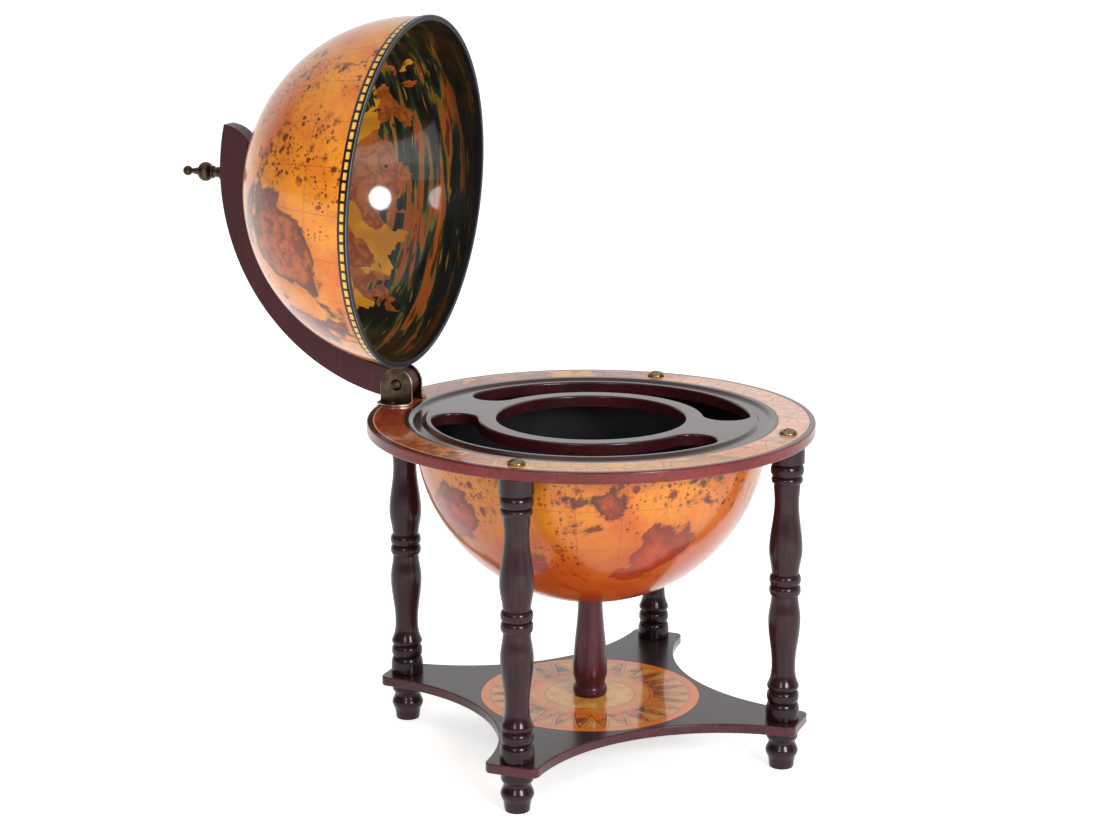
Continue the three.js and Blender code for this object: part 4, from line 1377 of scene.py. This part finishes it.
@dataclass
class Globe:
    """The bowl below and the lid above."""

    bolt_hole: float = 3.3
    pole_hole: float = 4.0
    rim_radius: float = 170.9
    rim_height: float = 3.0
    rim_rounding: float = 0.9
    lip_top: float = 5.5
    lip_wall: float = 0.8

    @staticmethod
    def shell(name: str, outside: Point, inside: Point, *finishes: Lacquered) -> Piece:
        """Turns half a globe: its outside from one height to another, then its inside back.

        Args:
            name: the shell's name.
            outside: heights where the outside begins and ends, from the centre.
            inside: heights where the inside begins and ends.
            finishes: the outside's and the inside's.

        Returns:
            The closed shell.
        """
        outer, inner = meridian(GLOBE_RADIUS, *outside), meridian(GLOBE_INNER, *inside)

        def zone(here: Point, there: Point) -> int:
            """The second finish is inside."""
            return 0 if math.hypot(*here) + math.hypot(*there) > 2 * GLOBE_RADIUS - 1 else 1

        return revolve(name, outer + inner + outer[:1], *finishes, sides=ROUND_SIDES, zone=zone)

    @staticmethod
    def hang(piece: Piece, slot: Slot, node: str) -> None:
        """Puts a piece of the lid in place; its mesh takes the lid's turn, so its axes stay the frame's.

        Args:
            piece: the piece, built about the lid's own centre.
            slot: the record's slot, passed on to fit, which does not use it.
            node: the CAD node that it stands for.
        """
        place = lid_place()
        piece.data.transform(place.to_3x3().to_4x4())
        fit(piece, Body.LID, slot, node, Matrix.Translation(place.translation))

    def rim(self) -> Piece:
        """The black moulded ring round the lid's mouth, its lower outer rounded edge painted pale as a
        highlight.

        Returns:
            The closed ring.
        """
        outer, high, lip = self.rim_radius, self.rim_height, rise(GLOBE_INNER - 0.6, self.lip_top)
        inner, rounding = lip - self.lip_wall, self.rim_rounding
        profile = [(inner, 0.4), (inner + 0.4, 0)]
        profile += corner((outer - rounding, rounding), rounding, -90, 0)
        profile += corner((outer - rounding, high - rounding), rounding, 0, 90)
        profile += [(lip, high), (lip, self.lip_top - 0.3), (lip - 0.3, self.lip_top)]
        profile += [(inner + 0.2, self.lip_top), (inner, self.lip_top - 0.3), (inner, 0.4)]

        def zone(here: Point, there: Point) -> int:
            """The rounded lower corner gets the painted highlight."""
            height, radius = (here[1] + there[1]) / 2, (here[0] + there[0]) / 2
            return 1 if height < 0.7 and radius > outer - 0.75 else 0

        return revolve("lid_mouth_ring", profile, RIM_BLACK, RIM_HIGHLIGHT, sides=ROUND_SIDES, zone=zone)

    def build(self) -> None:
        """Makes the bowl, the lid and its rim."""
        radii = (GLOBE_RADIUS, GLOBE_INNER)
        outside, inside = ((-rise(radius, self.bolt_hole), 0) for radius in radii)
        bowl = self.shell("lower_half_globe", outside, inside[::-1], BOWL_MAP, BLACK)
        fit(bowl, Body.STAND, Slot.PRINTED_PAPER, "bowl", shifted(0, 0, BOWL_CENTRE_Z))
        outside, inside = ((SHELL_FOOT, rise(radius, self.pole_hole)) for radius in radii)
        lid = self.shell("upper_half_globe", outside, inside[::-1], LID_MAP, LINING)
        self.hang(lid, Slot.PRINTED_PAPER, "lid_shell")
        self.hang(self.rim(), Slot.BLACK_LACQUER, "lid_rim")


@dataclass
class Pillar:
    """The short turned post under the bowl."""

    base_height: float = 10.8
    belly_height: float = 23.5
    neck: float = 14.4
    base_bead: float = 16.8
    belly: float = 16.7
    cup_steps: tuple[float, ...] = (11.8, 8, 4, 0)

    def build(self) -> None:
        """Makes the post with its hollowed top."""
        low, first = SHELF_SEAT_Z, SHELF_SEAT_Z + self.base_height
        cup = [(reach, BOWL_CENTRE_Z - rise(GLOBE_RADIUS + SEAT, reach)) for reach in self.cup_steps]
        points = [(0, low)] + bead(low, first, self.neck, self.base_bead, 14)
        points += flow((self.neck, first), (self.belly, low + self.belly_height, 10), (*cup[0], 20))
        post = revolve("turned_post", points + cup[1:], PILLAR_WOOD)
        fit(post, Body.STAND, Slot.TURNED_WOOD, "pillar", shifted())


@dataclass
class Shelf:
    """The low four-armed board with its medallion."""

    top: float = 49.0
    thickness: float = 9.4
    reach: float = 215.0
    half_width: float = 26.2
    waist: float = 114.0
    corner: float = 8.0
    rounding: float = 1.2
    medallion: float = 107.3
    medallion_thickness: float = 0.6
    bed: float = 0.9

    def outline(self) -> Profile:
        """Four rounded tabs joined by hollow sides, counter-clockwise.

        Returns:
            Its points, without a repeated last one.
        """
        centre = (self.waist - self.half_width) / (math.sqrt(2) - 1)
        hollow = centre - self.half_width
        far = self.reach - self.corner
        meet = centre - rise(hollow, far - centre)
        start = math.degrees(math.atan2(meet - centre, far - centre))
        part = corner((far, meet - self.corner), self.corner, 0, 90, 8)
        part += corner((centre, centre), hollow, start, -270 - start, 36)[1:-1]
        part += corner((meet - self.corner, far), self.corner, 0, 90, 8)
        points: Profile = []
        for quarter in range(4):
            turn = math.radians(90 * quarter)
            cos, sin = math.cos(turn), math.sin(turn)
            points += [(x * cos - y * sin, x * sin + y * cos) for x, y in part]
        return [p for i, p in enumerate(points) if math.dist(p, points[i - 1]) > 0.01]

    def build(self) -> None:
        """Makes the board, cut for its medallion, and the medallion."""
        top, under, reach = self.top, self.top - self.thickness, self.medallion + SEAT
        board = slab("low_shelf", self.outline(), under, top, self.rounding, SHELF_WOOD, SHELF_EDGE)
        bed = top - self.bed
        disc = [(0, bed), (reach, bed), (reach, bed + 5), (0, bed + 5)]
        shape_with(board, [revolve("bed", disc, SHELF_WOOD, sides=ROUND_SIDES)])
        fit(board, Body.STAND, Slot.DARK_BOARD, "shelf", shifted())
        low = top - self.medallion_thickness
        disc = [(0, low), (self.medallion, low), (self.medallion, top), (0, top)]
        medallion = revolve("printed_medallion", disc, MEDALLION, sides=ROUND_SIDES)
        fit(medallion, Body.STAND, Slot.PRINTED_PAPER, "medallion", shifted())


@dataclass
class Arm:
    """The curved arm and its finial."""

    thickness: float = 21.6
    outer: float = 215.0
    outer_end: float = 76.8
    inner_end: float = 79.8
    bulge: float = 3.8
    rounding: float = 1.2
    finial_ball: float = 4.95
    finial_neck: float = 2.5
    finial_height: float = 36.2

    def outline(self) -> Profile:
        """The arm drawn shut, about its own centre, in the upright plane, counter-clockwise.

        Returns:
            Its points, without a repeated last one.
        """
        lift = HINGE.z - ARM_CENTRE_Z
        middle = math.hypot(HINGE.x, lift)
        half = self.outer - middle
        inner = middle - half
        heel = math.degrees(math.atan2(lift, HINGE.x))
        tips = [Vector(polar(*end)) for end in ((self.outer, self.outer_end), (inner, self.inner_end))]
        across = (tips[0] - tips[1]).normalized()
        bow = (tips[0] + tips[1]) / 2 + Vector((across.y, -across.x)) * 2 * self.bulge
        points = [tuple(p) for p in self.curve(tips[1], bow, tips[0])]
        points += corner((0, 0), self.outer, self.outer_end, heel, 60)[1:]
        points += corner(polar(middle, heel), half, heel, heel + 180, 24)[1:-1]
        points += corner((0, 0), inner, heel, self.inner_end, 60)[:-1]
        area = sum(a[0] * b[1] - b[0] * a[1] for a, b in zip(points, points[1:] + points[:1]))
        return points if area >= 0 else points[::-1]

    @staticmethod
    def curve(start: Vector, pull: Vector, end: Vector, steps: int = 12) -> list[Vector]:
        """A curve from start to end, drawn towards pull."""
        shares = [i / steps for i in range(steps + 1)]
        return [start * (1 - s) ** 2 + pull * 2 * s * (1 - s) + end * s * s for s in shares]

    def finial(self) -> Piece:
        """The turned brass finial on the arm's outer face.

        Returns:
            The finial, standing on the shut arm.
        """
        base, ball, neck = ARM_CENTRE_Z + self.outer + SEAT, self.finial_ball, self.finial_neck
        points = [(0, base), (7.8, base), (8.2, base + 0.4), (8.2, base + 1.8)]
        points += flow(points[-1], (5.4, base + 5.4, 6), (4.8, base + 10.5, 6))
        points += [(6.2, base + 11.4), (6.4, base + 12.4), (5.6, base + 13.2), (4.6, base + 14.2)]
        points += bead(base + 14.5, base + 26.8, 4.8, 9.6, 16)[1:-1]
        points += [(3.9, base + 26.9), (3.9, base + 28)]
        points += ease((3.9, base + 28), (neck, base + self.finial_height))
        centre = base + self.finial_height + rise(ball, neck)
        points += [(r, centre + h) for r, h in meridian(ball, -rise(ball, neck), ball, 16)[1:]]
        return revolve("turned_finial", points, BRASS, sides=48)

    def build(self) -> None:
        """Makes the arm and the finial."""
        half = self.thickness / 2
        board = slab("curved_arm", self.outline(), -half, half, self.rounding, ARM_WOOD)
        stand_up = Matrix.Translation((0, 0, ARM_CENTRE_Z * MM)) @ turned(90, "X")
        fit(board, Body.ARM, Slot.ARM_WOOD, "arm", opened() @ stand_up)
        fit(self.finial(), Body.ARM, Slot.ANTIQUE_BRASS, "finial", opened())


@dataclass
class HingeBracket:
    """Two bent ears and their screws."""

    inner: float = 11.2
    thickness: float = 1.8
    half_width: float = 17.0
    flange: float = 20.0
    flange_tip: float = 11.0
    bend: float = 2.8
    bottom: float = 329.3
    screw_radius: float = 3.7
    screw_height: float = 2.0
    screw_turn_degrees: float = 35.0
    rubbed_and_highlit_edge: float = 0.35

    def strip(self, name: str, high: float) -> Piece:
        """The ear's sheet, bent through a right angle, before it is cut to shape.

        Args:
            name: the ear's name.
            high: how high the sheet stands.

        Returns:
            The closed strip.
        """
        outer = self.inner + self.thickness
        middle = (self.inner + self.bend, self.bottom + self.bend)
        reach = self.inner + self.flange + 1
        strip = [(self.inner, high)] + corner(middle, self.bend, 180, 270, 6)
        strip += [(reach, self.bottom), (reach, self.bottom + self.thickness)]
        strip += corner(middle, self.bend - self.thickness, 270, 180, 6) + [(outer, high)]
        width, count = self.half_width, len(strip)
        vertices = [(x, -y, z) for x in (-width, width) for y, z in strip]
        faces = [list(range(count)), [count + i for i in range(count)]]
        faces += [[i, (i + 1) % count, count + (i + 1) % count, count + i] for i in range(count)]
        return new_piece(name, vertices, faces, [BRASS])

    def ear(self, name: str) -> Piece:
        """The front ear: the bent strip, cut to its round top and bowed foot.

        Args:
            name: the ear's name.

        Returns:
            The ear, standing in front of the arm.
        """
        width, high = self.half_width, HINGE.z + self.half_width + 3
        low = self.bottom - HINGE.z - 5
        arch = [(-width + 0.01, low), (width - 0.01, low)]
        arch += corner((0, 0), width - 0.01, 0, 180, 32)
        # The cutters' pale finish goes on the ear's cut edges: rubbed brass and a painted highlight
        upright = stack("arch", [(arch, 0), (arch, 60)], BRASS_WEAR_AND_HIGHLIGHT)
        upright.matrix_world = Matrix.Translation((0, 0, HINGE.z * MM)) @ turned(90, "X")
        foot = [(-width - 1, 2), (-width - 1, -self.inner - self.flange_tip)]
        pull = 2 * self.flange - self.flange_tip
        for s in (i / 16 for i in range(17)):
            y = (1 - s) ** 2 * self.flange_tip + 2 * s * (1 - s) * pull + s * s * self.flange_tip
            foot.append((width * (2 * s - 1), -self.inner - y))
        foot += [(width + 1, -self.inner - self.flange_tip), (width + 1, 2)]
        plan = stack("foot", [(foot, self.bottom - 5), (foot, high + 5)], BRASS_WEAR_AND_HIGHLIGHT)
        ear = self.strip(name, high)
        shape_with(ear, [upright, plan], Shaping.MEET)
        self.soften(ear)
        return ear

    def soften(self, ear: Piece) -> None:
        """Breaks the sheet's cut edges with a small bevel, pale partly as rubbed brass and partly as a
        painted highlight.

        Args:
            ear: the ear, cut to shape.
        """
        bevel = ear.modifiers.new("rubbed_and_highlit_edges", "BEVEL")
        bevel.width = self.rubbed_and_highlit_edge * MM
        bevel.segments = 2
        bevel.limit_method = "ANGLE"
        bevel.angle_limit = math.radians(50)
        bevel.material = 1

    def screw(self, name: str) -> Piece:
        """A round-headed screw with one slot, seated on an ear's foot.

        Args:
            name: the screw's name.

        Returns:
            The slotted screw.
        """
        base, height = self.bottom + self.thickness + SEAT, self.screw_height
        turns = [math.radians(a) for a in range(0, 90, 10)]
        head = [(self.screw_radius * math.cos(a), base + height * math.sin(a)) for a in turns]
        screw = revolve(name, [(0, base)] + head + [(0, base + height)], BRASS, sides=24)
        slot = [(-5, -0.4), (5, -0.4), (5, 0.4), (-5, 0.4)]
        shape_with(screw, [stack("slot", [(slot, base + 1.2), (slot, base + 4)], BRASS)])
        return screw

    def build(self) -> None:
        """Makes both ears and their screws."""
        reach = self.inner + (self.thickness + self.flange) / 2
        for name, turn, side in (("front", 0, -1), ("rear", 180, 1)):
            ear, screw = self.ear(f"bent_ear_{name}"), self.screw(f"bracket_screw_{name}")
            fit(ear, Body.STAND, Slot.ANTIQUE_BRASS, f"hinge_ear_{name}", shifted(HINGE.x) @ turned(turn))
            spot = shifted(HINGE.x, side * reach) @ turned(self.screw_turn_degrees)
            fit(screw, Body.STAND, Slot.ANTIQUE_BRASS, f"ear_screw_{name}", spot)


class Carried:
    """The frame's own nodes that stay, in sight or inside, with a better finish."""

    FINISHES: dict[Lacquered, tuple[str, ...]] = {
        ZINC: (
            "leg_stud_front", "leg_stud_right", "leg_stud_back", "leg_stud_left",
            "pillar_screw", "bowl_bolt", "pole_rod", "pole_nut",
        ),
        BRASS: ("leg_screw_left", "hinge_bolt", "hinge_nut"),
        BLACK: ("bowl_floor", "pole_spacer", "pole_washer"),
    }

    def build(self) -> None:
        """Gives each carried node its finish."""
        for finish, names in self.FINISHES.items():
            for name in names:
                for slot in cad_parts[name].material_slots:
                    slot.material = finish.material()
                log.info("dressed %s", name)


@dataclass
class Studio:
    """Floor, lights, surroundings and the camera at the photograph's angle."""

    camera_mm: tuple[float, float, float] = (839.06, -2326.95, 913.74)
    yaw_degrees: float = 20.74
    pitch_degrees: float = 13.2
    focal_px: float = 2647.15
    picture_width_px: float = 1100.0
    sensor_mm: float = 36.0
    far_clip: float = 50.0
    floor_half_mm: float = 60000.0
    room: str = "#5a5a5d"
    wall: str = "#ffffff"
    wall_spread: tuple[float, float] = (0.0, 0.45)
    ceiling_spread: tuple[float, float] = (0.25, 1.0)
    lamp_size: float = 0.7
    lamp_aim: tuple[float, float, float] = (0, 0, 0.35)
    lamps: tuple[tuple[str, Spot, float], ...] = (
        ("right_lamp", (1.85, -1.50, 1.0), 42),
        ("front_lamp", (0.28, -2.40, 1.05), 13),
    )

    def camera(self) -> None:
        """Sets the camera where the photograph was taken from."""
        lens = bpy.data.cameras.new("photo_camera")
        lens.sensor_fit = "HORIZONTAL"
        lens.sensor_width = self.sensor_mm
        lens.lens = self.focal_px / self.picture_width_px * self.sensor_mm
        lens.clip_end = self.far_clip
        eye = bpy.data.objects.new("photo_camera", lens)
        bpy.context.scene.collection.objects.link(eye)
        eye.location = shifted(*self.camera_mm).translation
        eye.rotation_euler = (math.radians(90 - self.pitch_degrees), 0, math.radians(self.yaw_degrees))
        bpy.context.scene.camera = eye

    def light(self, name: str, spot: Spot, power: float) -> None:
        """Adds one round soft lamp that faces the globe, its place in metres and its power in watts.

        Args:
            name: the lamp's name.
            spot: its place in metres.
            power: its power in watts.
        """
        panel = bpy.data.lights.new(name, "AREA")
        panel.shape = "DISK"
        panel.size = self.lamp_size
        panel.energy = power
        lamp = bpy.data.objects.new(name, panel)
        bpy.context.scene.collection.objects.link(lamp)
        lamp.location = spot
        aim = Vector(self.lamp_aim) - Vector(spot)
        lamp.rotation_euler = aim.to_track_quat("-Z", "Y").to_euler()

    def surroundings(self) -> None:
        """A white wall behind the object, a pale ceiling over it and a dark room in front of it."""
        world = bpy.data.worlds.new("studio")
        bpy.context.scene.world = world
        world.use_nodes = True
        tree = world.node_tree
        add = partial(add_node, tree)
        facing = add(Node.FACING)
        wall = add(Node.RAMP, add(Node.Y, facing), *self.wall_spread)
        ceiling = add(Node.RAMP, add(Node.Z, facing), *self.ceiling_spread)
        shade = add(Node.MIX, add(Node.LARGER, wall, ceiling), self.room, self.wall)
        background = tree.nodes["Background"].inputs
        tree.links.new(shade, background["Color"])
        background["Strength"].default_value = 1.0

    def floor(self) -> None:
        """A wide sheet of pale paper."""
        half = self.floor_half_mm
        corners = [(-half, -half, 0), (half, -half, 0), (half, half, 0), (-half, half, 0)]
        new_piece("studio_floor", corners, [(0, 1, 2, 3)], [FLOOR])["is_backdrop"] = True

    def build(self) -> None:
        """Sets up the whole studio."""
        bpy.context.scene.view_settings.view_transform = "Standard"
        self.camera()
        self.floor()
        self.surroundings()
        for name, spot, power in self.lamps:
            self.light(name, spot, power)
        log.info("studio ready")


def main() -> None:
    """Builds the studio and every sub-assembly."""
    logging.basicConfig(level=logging.INFO, format="%(message)s")
    for maker in (Studio, TableBoard, Globe, Leg, Pillar, Shelf, Arm, HingeBracket, Carried):
        maker().build()
    boxes = [[list(map(float, end)) for end in box] for box in (CAD_BOX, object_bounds())]


if __name__ == "__main__":
    main()
